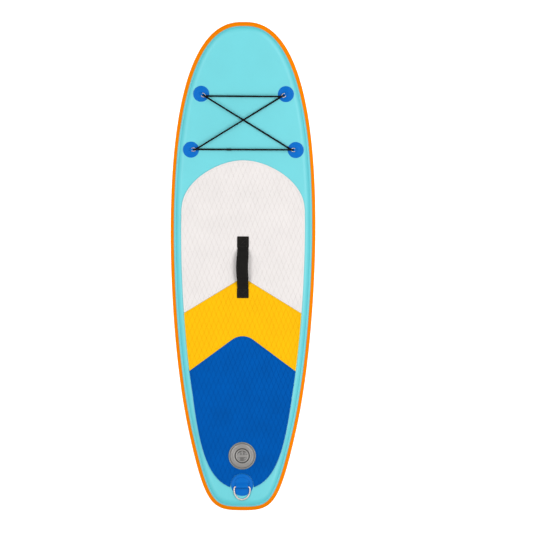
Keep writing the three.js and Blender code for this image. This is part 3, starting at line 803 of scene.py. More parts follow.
@dataclass
class Hull:
    """The air chamber's outer layers: two skins, the seam tape and the rail band.

    Sizes are in metres and angles in degrees above the middle of the rail.
    """

    palette: Palette
    outline: Outline = Outline()
    reach: float = 0.042
    skin_depth: float = 0.0028
    tape_depth: float = 0.0015
    skin_wall: float = 0.0012
    tape_angle: float = 57.6
    band_angle: float = 43.5
    nose_flare: float = 0.17
    tail_flare: float = 0.09
    valve_hole: float = 0.0245
    valve_y: float = -0.7095

    def rail_ring(self, degrees: float, depth: float, flare: bool = False) -> Ring:
        """One ring of the round side wall.

        Args:
            degrees: Angle above the middle of the rail.
            depth: Depth under the outermost layer.
            flare: Whether the ring reaches further round the rail at the nose and tail.

        Returns:
            The ring's points, before the rocker.
        """
        ring = []
        for point, inward in self.outline.stations():
            angle = math.radians(degrees * (self.flare_at(point.y) if flare else 1.0))
            inset = self.reach - (self.reach - depth) * math.cos(angle)
            height = (HULL_THICKNESS / 2 + self.skin_depth - depth) * math.sin(angle)
            ring.append(point + inward * inset + Vector((0, 0, MIDDLE + height)))
        return ring

    def flare_at(self, y: float) -> float:
        """How much wider the rail band is cut towards the ends.

        Args:
            y: Distance along the board.

        Returns:
            A factor on the band's angle.
        """
        nose = max(0.0, y - 0.45) / (HALF_LENGTH - 0.45)
        tail = max(0.0, -y - 0.60) / (HALF_LENGTH - 0.60)
        return 1.0 + self.nose_flare * nose + self.tail_flare * tail

    def build_skin(self, side: Side) -> None:
        """Makes one skin: a flat panel whose edge turns round the rail.

        Args:
            side: Which face of the hull it covers.
        """
        shaper = Shaper()
        angles = [1, 10, 20, 30, 38, 46, 54, 62, 70, 78, 84, 90]
        shaper.skin([self.rail_ring(side.value * angle, self.skin_depth) for angle in angles])
        level = MIDDLE + side.value * HULL_THICKNESS / 2
        rim = [edge for edge in shaper.bm.edges
               if all(abs(vert.co.z - level) < 1e-6 for vert in edge.verts)]
        loops = [rim]
        if side is Side.DECK:
            circle = bmesh.ops.create_circle(
                shaper.bm, cap_ends=False, radius=self.valve_hole, segments=64,
                matrix=Matrix.Translation((0, self.valve_y, level)))
            loops.append(list({edge for vert in circle["verts"] for edge in vert.link_edges}))
        faces = shaper.fill(loops)
        shaper.slice_rows(faces)
        shaper.follow_rocker()
        bmesh.ops.recalc_face_normals(shaper.bm, faces=shaper.bm.faces)
        middle = max(shaper.bm.faces, key=lambda face: face.calc_area())
        if middle.normal.z * side.value < 0:
            bmesh.ops.reverse_faces(shaper.bm, faces=shaper.bm.faces)
        name = "deck_skin" if side is Side.DECK else "bottom_skin"
        Piece(f"{name}_cloth", shaper, self.palette.hull, "hull_turquoise", stands_for=(name,),
              wall=self.skin_wall, keep_normals=True, sharp=60).make()

    def build_band(self, name: str, node: str, reach: float, depth: float, wall: float,
                   material: bpy.types.Material, slot: str, flare: bool = False) -> None:
        """Makes a band that wraps the whole rail.

        Args:
            name: Name of the piece.
            node: The frame part it stands for.
            reach: Angle it covers above and below the rail's middle.
            depth: Depth of its outer face.
            wall: Its thickness.
            material: Its finish.
            slot: The record's material slot.
            flare: Whether it is cut wider at the nose and tail.
        """
        shaper = Shaper()
        steps = 12
        angles = [reach * (2 * i / steps - 1) for i in range(steps + 1)]
        outer = [self.rail_ring(angle, depth, flare) for angle in angles]
        inner = [self.rail_ring(angle, depth + wall, flare) for angle in reversed(angles)]
        shaper.skin(outer + inner, closed=True)
        shaper.follow_rocker()
        Piece(name, shaper, material, slot, stands_for=(node,), sharp=50).make()

    def build(self) -> None:
        """Makes every hull layer."""
        self.build_skin(Side.DECK)
        self.build_skin(Side.BOTTOM)
        self.build_band("seam_tape_strip", "seam_tape", self.tape_angle, self.tape_depth, 0.001,
                        self.palette.tape, "hull_turquoise")
        self.build_band("rail_band_strip", "rail_band", self.band_angle, 0.0, 0.0012,
                        self.palette.rail, "rail_orange", flare=True)


# ---------------------------------------------------------------- deck pad


@dataclass
class DeckPad:
    """The foam traction pad: three coloured pieces with a diamond pattern pressed into them.

    Sizes are in metres; the valve and leash fields hold the Y and radius of what the pad goes round.
    """

    palette: Palette
    outline: Outline = Outline()
    inset: float = 0.040
    top: float = 0.0049
    thickness: float = 0.0045
    edge_radius: float = 0.0011
    border: float = 0.0038
    groove: float = 0.0010
    depth: float = 0.0008
    diamond: tuple[float, float] = (0.018, 0.045)
    seam: float = 0.0004
    valve: tuple[float, float] = (-0.7095, 0.052)
    leash: tuple[float, float] = (-0.818, 0.0425)

    def arch(self) -> list[Vector]:
        """The round front edge, from the middle to the right side."""
        return bezier([(0, 397), (95, 397), (222, 320), (229.5, 225)], 30)

    def tail(self) -> list[Vector]:
        """The rounded tail edge, from the right side until it meets the leash patch.

        Returns:
            The edge's points, the arc round the patch with them.
        """
        y, radius = self.leash
        centre = Vector((0, y, 0))
        points = [p for p in bezier([(183.6, -502), (158, -680), (128, -834), (0, -834)], 40)
                  if (p - centre).length > radius]
        away = points[-1] - centre
        start = math.atan2(away.y, away.x)
        arc = [centre + radius * Vector((math.cos(a), math.sin(a), 0))
               for a in (start + (math.pi / 2 - start) * i / 7 for i in range(1, 8))]
        return points + arc

    def sides(self, front: float, rear: float, count: int) -> list[Vector]:
        """The right side edge, evenly along the board."""
        rows = (front + (rear - front) * i / count for i in range(count + 1))
        return [Vector((self.outline.half_width(y, self.inset), y, 0)) for y in rows]

    def chevron(self, corner: float, slope: float, radius: float, shift: float) -> list[Vector]:
        """Half of a rounded chevron, from the right side to the middle.

        Args:
            corner: Where the two straight arms would meet.
            slope: Fall of an arm for each unit outwards.
            radius: Radius of the rounded point.
            shift: How far the line is moved forwards.

        Returns:
            The line's points.
        """
        angle = math.atan(slope)
        reach = radius * math.sin(angle)
        centre = corner - slope * reach - radius * math.cos(angle)
        curve = [Vector((radius * math.sin(a), centre + radius * math.cos(a) + shift, 0))
                 for a in (angle * (1 - i / 10) for i in range(11))]
        y = corner + shift - 0.16
        for _ in range(8):
            y = corner + shift - slope * self.outline.half_width(y, self.inset)
        return [Vector((self.outline.half_width(y, self.inset), y, 0)), *curve]

    def build_piece(self, name: str, half: list[Vector], material: bpy.types.Material, slot: str,
                    hole: tuple[float, float] | None = None) -> None:
        """Makes one foam piece from the right half of its outline.

        Args:
            name: The frame part it stands for.
            half: Right half of its outline, from the middle round to the middle.
            material: Its finish.
            slot: The record's material slot.
            hole: Y and radius of a round hole through it.
        """
        shaper = Shaper()
        bm = shaper.bm
        left = [Vector((-p.x, p.y, 0)) for p in reversed(half) if p.x > 1e-5]
        level = DECK + self.top
        points = [Vector((p.x, p.y, level)) for p in half + left]
        loops = [shaper.loop(points)]
        if hole:
            circle = bmesh.ops.create_circle(bm, cap_ends=False, radius=hole[1], segments=64,
                                             matrix=Matrix.Translation((0, hole[0], level)))
            loops.append(list({edge for vert in circle["verts"] for edge in vert.link_edges}))
        faces = shaper.fill(loops)
        bmesh.ops.recalc_face_normals(bm, faces=faces)
        if faces[0].normal.z < 0:
            bmesh.ops.reverse_faces(bm, faces=faces)
        bmesh.ops.solidify(bm, geom=faces, thickness=self.thickness)
        top = [face for face in bm.faces if face.calc_center_median().z > level - 1e-5]
        rim = list({edge for face in top for edge in face.edges
                    if any(other not in top for other in edge.link_faces)})
        shaper.round_edges(rim, self.edge_radius, 2)
        top = [face for face in bm.faces if face.calc_center_median().z > level - 1e-6]
        bmesh.ops.inset_region(bm, faces=top, thickness=self.border, use_even_offset=True)
        bmesh.ops.inset_region(bm, faces=top, thickness=self.groove, depth=-self.depth,
                               use_even_offset=True)
        self._press_diamonds(bm, top)
        underside = level - self.thickness
        lower = [face for face in bm.faces if face.calc_center_median().z < underside + 1e-5]
        shaper.slice_rows(lower)
        shaper.follow_rocker()
        foam = Piece(f"{name}_foam", shaper, material, slot, stands_for=(name,), sharp=20,
                     keep_normals=True).make()

    def _press_diamonds(self, bm: bmesh.types.BMesh, faces: list[bmesh.types.BMFace]) -> None:
        """Cuts the sunk field along two sets of lines and raises each diamond between them.

        Args:
            bm: The foam piece's mesh.
            faces: The sunk faces inside its border.
        """
        for face in faces:
            face.material_index = 1
        across, along = self.diamond
        pitch = across * along / math.hypot(across, along)
        low = Vector((-0.25, -0.86, 0))
        high = Vector((0.25, 0.42, 0))
        for sign in (1, -1):
            normal = Vector((along, sign * across, 0)).normalized()
            span = [normal.dot(Vector((x, y, 0))) for x in (low.x, high.x) for y in (low.y, high.y)]
            for index in range(math.floor(min(span) / pitch), math.ceil(max(span) / pitch) + 1):
                field_faces = [face for face in bm.faces if face.material_index == 1]
                geom = list({item for face in field_faces for item in (face, *face.edges, *face.verts)})
                bmesh.ops.bisect_plane(bm, geom=geom, plane_co=normal * pitch * (index + 0.5),
                                       plane_no=normal)
        lines = [Vector((sign * across, along, 0)).normalized() for sign in (1, -1)]
        guides = [edge for edge in bm.edges if len(edge.link_faces) == 2
                  and all(face.material_index == 1 for face in edge.link_faces)
                  and all((edge.verts[0].co - edge.verts[1].co).cross(line).length > 5e-6
                          for line in lines)]
        bmesh.ops.dissolve_edges(bm, edges=guides, use_verts=True)
        cells = [face for face in bm.faces if face.material_index == 1 and face.calc_area() > 3e-6]
        whole = [face for face in cells if face.calc_area() > 130e-6
                 and min(loop.calc_angle() for loop in face.loops) > math.radians(20)]
        bmesh.ops.inset_individual(bm, faces=[face for face in cells if face not in set(whole)],
                                   thickness=0.00012, depth=self.depth, use_even_offset=False)
        bmesh.ops.inset_individual(bm, faces=whole, thickness=self.groove * 0.5,
                                   depth=self.depth, use_even_offset=True)
        for face in bm.faces:
            face.material_index = 0

    def build(self) -> None:
        """Makes the three pieces."""
        front = dict(corner=-0.0415, slope=0.61, radius=0.045)
        rear = dict(corner=-0.2457, slope=0.739, radius=0.0665)
        white_end = self.chevron(shift=self.seam, **front)
        yellow_start = self.chevron(shift=-self.seam, **front)
        yellow_end = self.chevron(shift=self.seam, **rear)
        blue_start = self.chevron(shift=-self.seam, **rear)
        self.build_piece("deck_pad_white",
                         self.arch() + self.sides(0.212, white_end[0].y + 0.015, 24) + white_end,
                         self.palette.pad_white, "pad_white")
        self.build_piece("deck_pad_yellow",
                         list(reversed(yellow_start))
                         + self.sides(yellow_start[0].y - 0.015, yellow_end[0].y + 0.015, 14)
                         + yellow_end,
                         self.palette.pad_yellow, "pad_yellow")
        self.build_piece("deck_pad_blue",
                         list(reversed(blue_start))
                         + self.sides(blue_start[0].y - 0.012, -0.490, 6) + self.tail(),
                         self.palette.pad_blue, "pad_blue", hole=self.valve)


# ---------------------------------------------------------------- bungee


@dataclass
class Anchor:
    """One bungee anchor: a stepped round patch, the loop moulded on it and its steel ring.

    Its place is in metres and its sizes in millimetres.
    """

    palette: Palette
    name: str
    x: float
    y: float
    toward: tuple[float, float]
    patch: float = 30.0
    boss: float = 3.2
    bar: float = 6.5
    reach: float = 14.0
    lift: float = 4.4
    wire: float = 1.3
    half: float = 6.3
    bar_offset: float = 3.3

    def seat(self) -> Matrix:
        """The anchor's own axes.

        Returns:
            A matrix with X towards the cord and Z out of the deck.
        """
        slope = (rocker(self.y + MM) - rocker(self.y - MM)) / (2 * MM)
        up = Vector((0, -slope, 1)).normalized()
        ahead = Vector((self.toward[0], self.toward[1], slope * self.toward[1])).normalized()
        matrix = Matrix((ahead, up.cross(ahead), up)).transposed().to_4x4()
        return Matrix.Translation((self.x, self.y, DECK + rocker(self.y))) @ matrix

    def bight(self, cord_radius: float) -> list[Vector]:
        """The cord's turn round the ring.

        Args:
            cord_radius: Radius of the cord, in millimetres.

        Returns:
            Points in over the bow, down through the ring and out below.
        """
        bend = cord_radius + self.wire + 0.3
        bow = self.bar_offset + math.sqrt(self.reach ** 2 - self.lift ** 2)
        place = self.seat()
        return [place @ mm(bow + bend * math.cos(a), 0, self.bar + self.lift + bend * math.sin(a))
                for a in (math.radians(90 + 15 * i) for i in range(13))]

    def build(self) -> None:
        """Makes the anchor's three pieces."""
        seat = self.seat()
        disc = Shaper()
        disc.turned([(0, 0.45), (29.2, 0.45), (self.patch, 0.6), (self.patch, 1.2),
                     (29.6, 1.55), (28.6, 1.7), (25.6, 1.8), (24.6, 2.0), (24.0, 2.35),
                     (23.0, 2.45), (19.0, 2.5), (18.0, 2.2),
                     (17.2, 2.3), (16.4, 2.7), (15.6, 3.0), (14.6, self.boss), (0, self.boss)])
        Piece(f"bungee_patch_{self.name}_disc", disc, self.palette.patch, "patch_blue",
              stands_for=(f"bungee_patch_{self.name}",), place=seat, sharp=42).make()
        self._build_loop(seat)
        self._build_ring(seat)

    def _build_loop(self, seat: Matrix) -> None:
        """Makes the moulded bridge that holds the ring's bar.

        Args:
            seat: The anchor's axes.
        """
        bridge = Shaper()
        hole, wall = self.wire + 0.4, 1.4
        profile = []
        for i in range(17):
            angle = math.radians(-90 + 180 * i / 16)
            profile.append((hole * math.cos(angle), hole * math.sin(angle)))
        outer = [((hole + wall) * x / hole, (hole + wall) * z / hole) for x, z in profile]
        line = [(-9.5, -3.2), *outer, (-4.0, 2.4), (-9.5, -0.6)]
        front = [mm(self.bar_offset + x, -3.4, self.bar + z) for x, z in line]
        back = [mm(self.bar_offset + x, 3.4, self.bar + z) for x, z in line]
        bridge.skin([front, back], caps=True)
        Piece(f"bungee_loop_{self.name}_bridge", bridge, self.palette.patch, "patch_blue",
              stands_for=(f"bungee_loop_{self.name}",), place=seat, bevel=0.0004, sharp=40).make()

    def _build_ring(self, seat: Matrix) -> None:
        """Makes the small steel D ring, pulled up by the cord.

        Args:
            seat: The anchor's axes.
        """
        ring = Shaper()
        tilt = Matrix.Rotation(-math.asin(self.lift / self.reach), 4, "Y")
        line = d_line(self.half, 7.0, self.reach, 2.2)
        shift = Matrix.Translation(mm(self.bar_offset, 0, self.bar))
        ring.tube(line, self.wire * MM, sides=12)
        Piece(f"bungee_ring_{self.name}_wire", ring, self.palette.steel, "steel",
              stands_for=(f"bungee_ring_{self.name}",), place=seat @ shift @ tilt, sharp=60).make()


def d_line(half: float, straight: float, reach: float, corner: float, steps: int = 28) -> list[Vector]:
    """The closed line of a D ring, its bar on the Y axis.

    Args:
        half: Half the bar's length.
        straight: Where the arms start to curve.
        reach: Distance from the bar to the bow.
        corner: Radius at the ends of the bar.
        steps: Steps round the bow.

    Returns:
        Points in metres; the sizes given are millimetres.
    """
    points = []
    for side in (-1, 1):
        turn = [(corner - corner * math.cos(a), side * (half - corner + corner * math.sin(a)))
                for a in (math.radians(15 * i) for i in range(7))]
        points += reversed(turn) if side < 0 else turn
    points += [(straight * i / 3 + corner * (1 - i / 3), half) for i in (1, 2)]
    bow = [(straight + (reach - straight) * math.cos(a), half * math.sin(a))
           for a in (math.pi * (0.5 - i / steps) for i in range(steps + 1))]
    points += bow
    points += [(straight * i / 3 + corner * (1 - i / 3), -half) for i in (2, 1)]
    return [mm(x, y, 0) for x, y in points]


@dataclass
class Bungee:
    """The elastic net: four anchors and one cord that crosses itself once.

    The cord's radius is in millimetres, the rest in metres.
    """

    palette: Palette
    radius: float = 3.25
    lead: float = 0.012
    crossing: float = 0.0037

    def anchors(self) -> list[Anchor]:
        """The four anchors.

        Returns:
            The anchors in the order that the cord meets them.
        """
        front, rear = (0.1585, 0.645, (-11, -6)), (0.196, 0.436, (-12, 1))
        places = (("front_left", -1, front), ("front_right", 1, front),
                  ("rear_left", -1, rear), ("rear_right", 1, rear))
        return [Anchor(self.palette, name, side * x, y, (side * toward[0], toward[1]))
                for name, side, (x, y, toward) in places]

    def stretch(self, start: Vector, end: Vector, lift: float) -> list[Vector]:
        """A taut run between two rings, eased up or down where it crosses another.

        Args:
            start: Where it leaves one ring.
            end: Where it meets the next.
            lift: Rise at the crossing, below zero where it passes under.

        Returns:
            The run's points.
        """
        along = end - start
        lead = self.lead / along.length
        count = 18
        parts = [lead + (1 - 2 * lead) * i / count for i in range(count + 1)]
        return [start + along * part + Vector((0, 0, lift * self._hump(part))) for part in parts]

    @staticmethod
    def _hump(part: float) -> float:
        """How much of the crossing lift a place along the run has."""
        near = max(0.0, 1 - abs(part - 0.5) / 0.25)
        return near * near * (3 - 2 * near)

    def build(self) -> None:
        """Makes the anchors and the cord."""
        anchors = self.anchors()
        for anchor in anchors:
            anchor.build()
        bights = [anchor.bight(self.radius) for anchor in anchors]
        lifts = (0.0, self.crossing, 0.0, -self.crossing)
        route: list[Vector] = []
        for i, points in enumerate(bights):
            route += points
            route += self.stretch(points[-1], bights[(i + 1) % 4][0], lifts[i])
        cord = Shaper()
        cord.tube(route, self.radius * MM, sides=16)
        Piece("bungee_cord_braid", cord, self.palette.cord, "cord_black", stands_for=("bungee_cord",),
              sharp=70).make()


# ---------------------------------------------------------------- carry handle


@dataclass
class Handle:
    """The carry handle: two sewn tabs, the strap that rises from them and a padded grip, in metres."""

    palette: Palette
    half: float = 0.022
    waist: float = 0.0218
    front: float = 0.112
    front_length: float = 0.043
    rear: float = -0.119
    rear_length: float = 0.037
    grip_front: float = 0.038
    grip_rear: float = -0.045
    rise: float = 0.028
    strap: float = 0.0030
    tab_thickness: float = 0.0023
    sewn: float = 0.0052
    tuck: float = 0.004
    padding: float = 0.0048

    @property
    def base(self) -> float:
        """Height of the pad's top, where the tabs lie."""
        return DECK + 0.0052

    def _threads(self, name: str, lines: Sequence[Sequence[Vector]], body: str = "board") -> None:
        """Sews rows of stitches as one piece.

        Args:
            name: Name of the piece.
            lines: Corners of each sewn line.
            body: The body that carries it.
        """
        shaper = Shaper()
        for line in lines:
            shaper.stitches(line)
        Piece(name, shaper, self.palette.thread, "webbing_black", body=body, sharp=80).make()

    def build_tab(self, name: str, rear: float, front: float) -> None:
        """Makes a sewn end tab, its box-and-cross stitching with it.

        Args:
            name: The frame part it stands for.
            rear: Y of its rear edge.
            front: Y of its front edge.
        """
        shaper = Shaper()
        top = self.base + self.tab_thickness
        shaper.plate(Vector((-self.half, rear, self.base)), Vector((self.half, front, top)), 0.003, 4)
        Piece(f"{name}_cloth", shaper, self.palette.webbing, "webbing_black", stands_for=(name,),
              bevel=0.0006, sharp=45).make()
        z = top + 0.0001
        x = self.half - self.sewn - 0.001
        low, high = rear + 0.0055, front - 0.0055
        corners = [Vector((sx * x, y, z)) for sx, y in ((-1, low), (1, low), (1, high), (-1, high))]
        self._threads(f"{name}_stitches", [corners + corners[:1], [corners[0], corners[2]],
                                           [corners[1], corners[3]]])

    def build_strap(self, name: str, tab: float, grip: float, with_node: bool) -> None:
        """Makes one rising length of strap between a tab and the grip.

        Args:
            name: Name of the piece.
            tab: Y where it leaves the tab.
            grip: Y where it enters the grip.
            with_node: Whether it also stands for the plain strap.
        """
        shaper = Shaper()
        low, high = self.base + 0.0004, DECK + self.rise - self.strap / 2
        rings, centres = [], []
        count = 22
        inside = grip - math.copysign(self.tuck, tab - grip)
        for i in range(count + 1):
            part = i / count
            y = tab + (inside - tab) * part
            rise = part * part * (3 - 2 * part)
            centres.append(Vector((-0.0008 * rise, y, low + (high - low) * rise + self.strap / 2)))
        for i, centre in enumerate(centres):
            ahead = centres[min(i + 1, count)] - centres[max(i - 1, 0)]
            up = Vector((0, -ahead.z, ahead.y)).normalized()
            up = up if up.z > 0 else -up
            half = self.half - 0.0012 + (self.waist - self.half + 0.0012) * min(1.0, i / count * 1.6)
            rings.append(self._section(centre, up, half))
        shaper.skin(rings, caps=True)
        Piece(name, shaper, self.palette.webbing, "webbing_black", body="board",
              stands_for=("handle_webbing",) if with_node else (), sharp=60,
              blend_with=("handle", Vector((0, tab, 0)), Vector((0, inside, 0)))).make()
        threads = Shaper()
        for side in (-1, 1):
            for one, other in zip(centres[1:-3], centres[2:-2]):
                direction = (other - one).normalized()
                up = Vector((1, 0, 0)).cross(direction)
                up = up if up.z > 0 else -up
                lift = up * (self.strap / 2 + 0.0001)
                out = Vector((side * (self.waist - self.sewn), 0, 0))
                threads.stitches([one + out + lift, other + out + lift], pitch=0.004, up=up)
        Piece(f"{name}_stitches", threads, self.palette.thread, "webbing_black", body="board", sharp=80,
              blend_with=("handle", Vector((0, tab, 0)), Vector((0, inside, 0)))).make()

    def _section(self, centre: Vector, up: Vector, half: float) -> Ring:
        """A flat strap section with round edges and a slightly full middle.

        Args:
            centre: Its middle.
            up: Direction out of the strap's face.
            half: Half its width.

        Returns:
            The section's points.
        """
        ring = []
        for i in range(28):
            angle = math.tau * i / 28
            wide, tall = math.cos(angle), math.sin(angle)
            flat = math.copysign(abs(wide) ** 0.35, wide) * half
            full = math.copysign(abs(tall) ** 0.6, tall)
            ring.append(centre + Vector((flat, 0, 0)) + up * full * self.strap / 2)
        return ring

    def build_grip(self) -> None:
        """Makes the padded grip: a full sleeve whose sewn edges pull in."""
        shaper = Shaper()
        rings = []
        count = 26
        for i in range(count + 1):
            part = i / count
            y = self.grip_rear + (self.grip_front - self.grip_rear) * part
            end = 1 - abs(2 * part - 1) ** 7
            full = 0.42 + 0.58 * math.sqrt(max(0.0, end))
            shift = -0.0022 * math.sin(math.pi * part) - 0.0008
            ring = []
            for k in range(40):
                angle = math.tau * k / 40
                wide, tall = math.cos(angle), math.sin(angle)
                x = math.copysign(abs(wide) ** 0.5, wide) * (self.waist + 0.0006)
                sewn = 1 - 0.34 * math.exp(-((abs(x) - (self.waist - self.sewn)) / 0.0016) ** 2)
                z = math.copysign(abs(tall) ** 0.75, tall) * self.padding * full * sewn
                ring.append(Vector((x + shift, y, DECK + self.rise + z)))
            rings.append(ring)
        shaper.skin(rings, caps=True)
        grip = Piece("handle_grip_sleeve", shaper, self.palette.webbing, "webbing_black", body="handle",
                     stands_for=("handle_grip",), sharp=60).make()
        rows = []
        for side in (-1, 1):
            line = []
            for i in range(2, 23):
                part = i / 24
                y = self.grip_rear + (self.grip_front - self.grip_rear) * part
                shift = -0.0022 * math.sin(math.pi * part) - 0.0008
                line.append(Vector((side * (self.waist - self.sewn) + shift, y,
                                    DECK + self.rise + self.padding * 0.62)))
            rows.append(line)
        self._threads("handle_grip_stitches", rows, body="handle")

    def build(self) -> None:
        """Makes the whole handle."""
        rear_front = self.rear + self.rear_length
        self.build_tab("handle_tab_front", self.front - self.front_length, self.front)
        self.build_tab("handle_tab_rear", self.rear, rear_front)
        self.build_strap("handle_strap_front", self.front - self.front_length + 0.0012,
                         self.grip_front, True)
        self.build_strap("handle_strap_rear", rear_front - 0.0012, self.grip_rear, False)
        self.build_grip()


# ---------------------------------------------------------------- valve


@dataclass
class Valve:
    """The inflation valve: stepped body, screw cap and spring.

    Its place is in metres and its radii in millimetres.
    """

    palette: Palette
    y: float = -0.7095
    flange: float = 51.0
    neck: float = 24.0
    bore: float = 20.0
    marks: int = 12
    spokes: int = 6

    def build_body(self) -> None:
        """Makes the stepped flange and the neck below it."""
        shaper = Shaper()
        bore, neck, flange = self.bore, self.neck, self.flange
        shaper.turned([
            (bore, -24), (neck, -24), (neck, 0.3), (flange - 0.6, 0.3), (flange, 0.8), (flange, 2.6),
            (flange - 0.6, 3.5), (flange - 1.8, 4.0), (48.2, 4.1), (47.2, 3.4), (46.6, 2.4),
            (45.0, 2.4), (44.2, 3.4), (42.6, 4.0), (41.4, 4.4), (40.6, 5.2), (39.6, 5.8),
            (37.4, 5.8), (36.8, 5.2), (35.4, 5.2), (34.8, 5.8), (31, 5.8), (29.6, 5.3),
            (28.8, 4.9), (28.2, 4.0), (27.6, 2.5), (27, 1.5),
            (bore + 2, 1.5), (bore + 2, -14), (bore, -14)])
        Piece("valve_body_flange", shaper, self.palette.valve, "valve_grey", stands_for=("valve_body",),
              place=Matrix.Translation((0, self.y, DECK)), sharp=38).make()
        marks = Shaper()
        marks.repeat_round(self.marks, first=180 / self.marks, add=lambda: marks.box(
            mm(-0.5, 42.2, 3.4), mm(0.5, 44.6, 4.75), bevel=0.0002, segments=1))
        Piece("valve_body_marks", marks, self.palette.valve, "valve_grey",
              place=Matrix.Translation((0, self.y, DECK)), sharp=30).make()
        hub = Shaper()
        hub.turned([(4.4, -19), (7, -19), (7, -15.2), (4.4, -15.2)], steps=48)
        hub.repeat_round(self.spokes, add=lambda: hub.box(
            mm(6.6, -1.5, -19), mm(bore + 0.4, 1.5, -15.2), bevel=0.0004))
        Piece("valve_body_spider", hub, self.palette.valve, "valve_grey",
              place=Matrix.Translation((0, self.y, DECK)), sharp=38).make()

    def build_cap(self) -> None:
        """Makes the cap: a dished disc and skirt, with a grip bar across it."""
        place = Matrix.Translation((0, self.y, DECK))
        disc = Shaper()
        disc.turned([(0, 1), (18.7, 1), (18.7, -11), (21.3, -11), (21.7, -10.4), (21.7, 3), (24.2, 3),
                     (24.7, 3.4), (24.7, 5.2), (24.2, 6.1), (23.3, 6.6), (21.8, 6.6), (20.4, 6.2),
                     (19.6, 5.0), (19.0, 3.0), (18.0, 2.3), (0, 2.3)])
        Piece("valve_cap_disc", disc, self.palette.valve, "valve_grey", body="valve_cap",
              stands_for=("valve_cap",), place=place, sharp=40).make()
        bar = Shaper()
        bar.box(mm(-20.2, -5.6, 1.9), mm(20.2, 3.2, 6.4), bevel=0.0013, segments=3)
        bar.box(mm(-1.8, 2.2, 1.9), mm(1.8, 19.6, 5.6), bevel=0.0008)
        bar.box(mm(-12.5, 10.5, 1.9), mm(12.5, 12.7, 4.4), bevel=0.0008)
        Piece("valve_cap_grip", bar, self.palette.valve, "valve_grey", body="valve_cap",
              place=place, sharp=38).make()

    def build_spring(self) -> None:
        """Makes the coil spring under the stem's head as a fixed coil; the real spring flattens as the
        stem is pressed.
        """
        coil = Shaper()
        turns, steps = 5, 24
        coil.tube([mm(6.2 * math.cos(a), 6.2 * math.sin(a), -13.8 + 8.2 * a / (math.tau * turns))
                   for a in (math.tau * i / steps for i in range(turns * steps + 1))],
                  0.6 * MM, sides=10, closed=False)
        spring = Piece("valve_spring_coil", coil, self.palette.steel, "steel",
                       stands_for=("valve_spring",), place=Matrix.Translation((0, self.y, DECK)),
                       sharp=60).make()
        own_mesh(spring)

    def build(self) -> None:
        """Makes the valve's body, cap and spring."""
        self.build_body()
        self.build_cap()
        self.build_spring()


# ---------------------------------------------------------------- leash ring


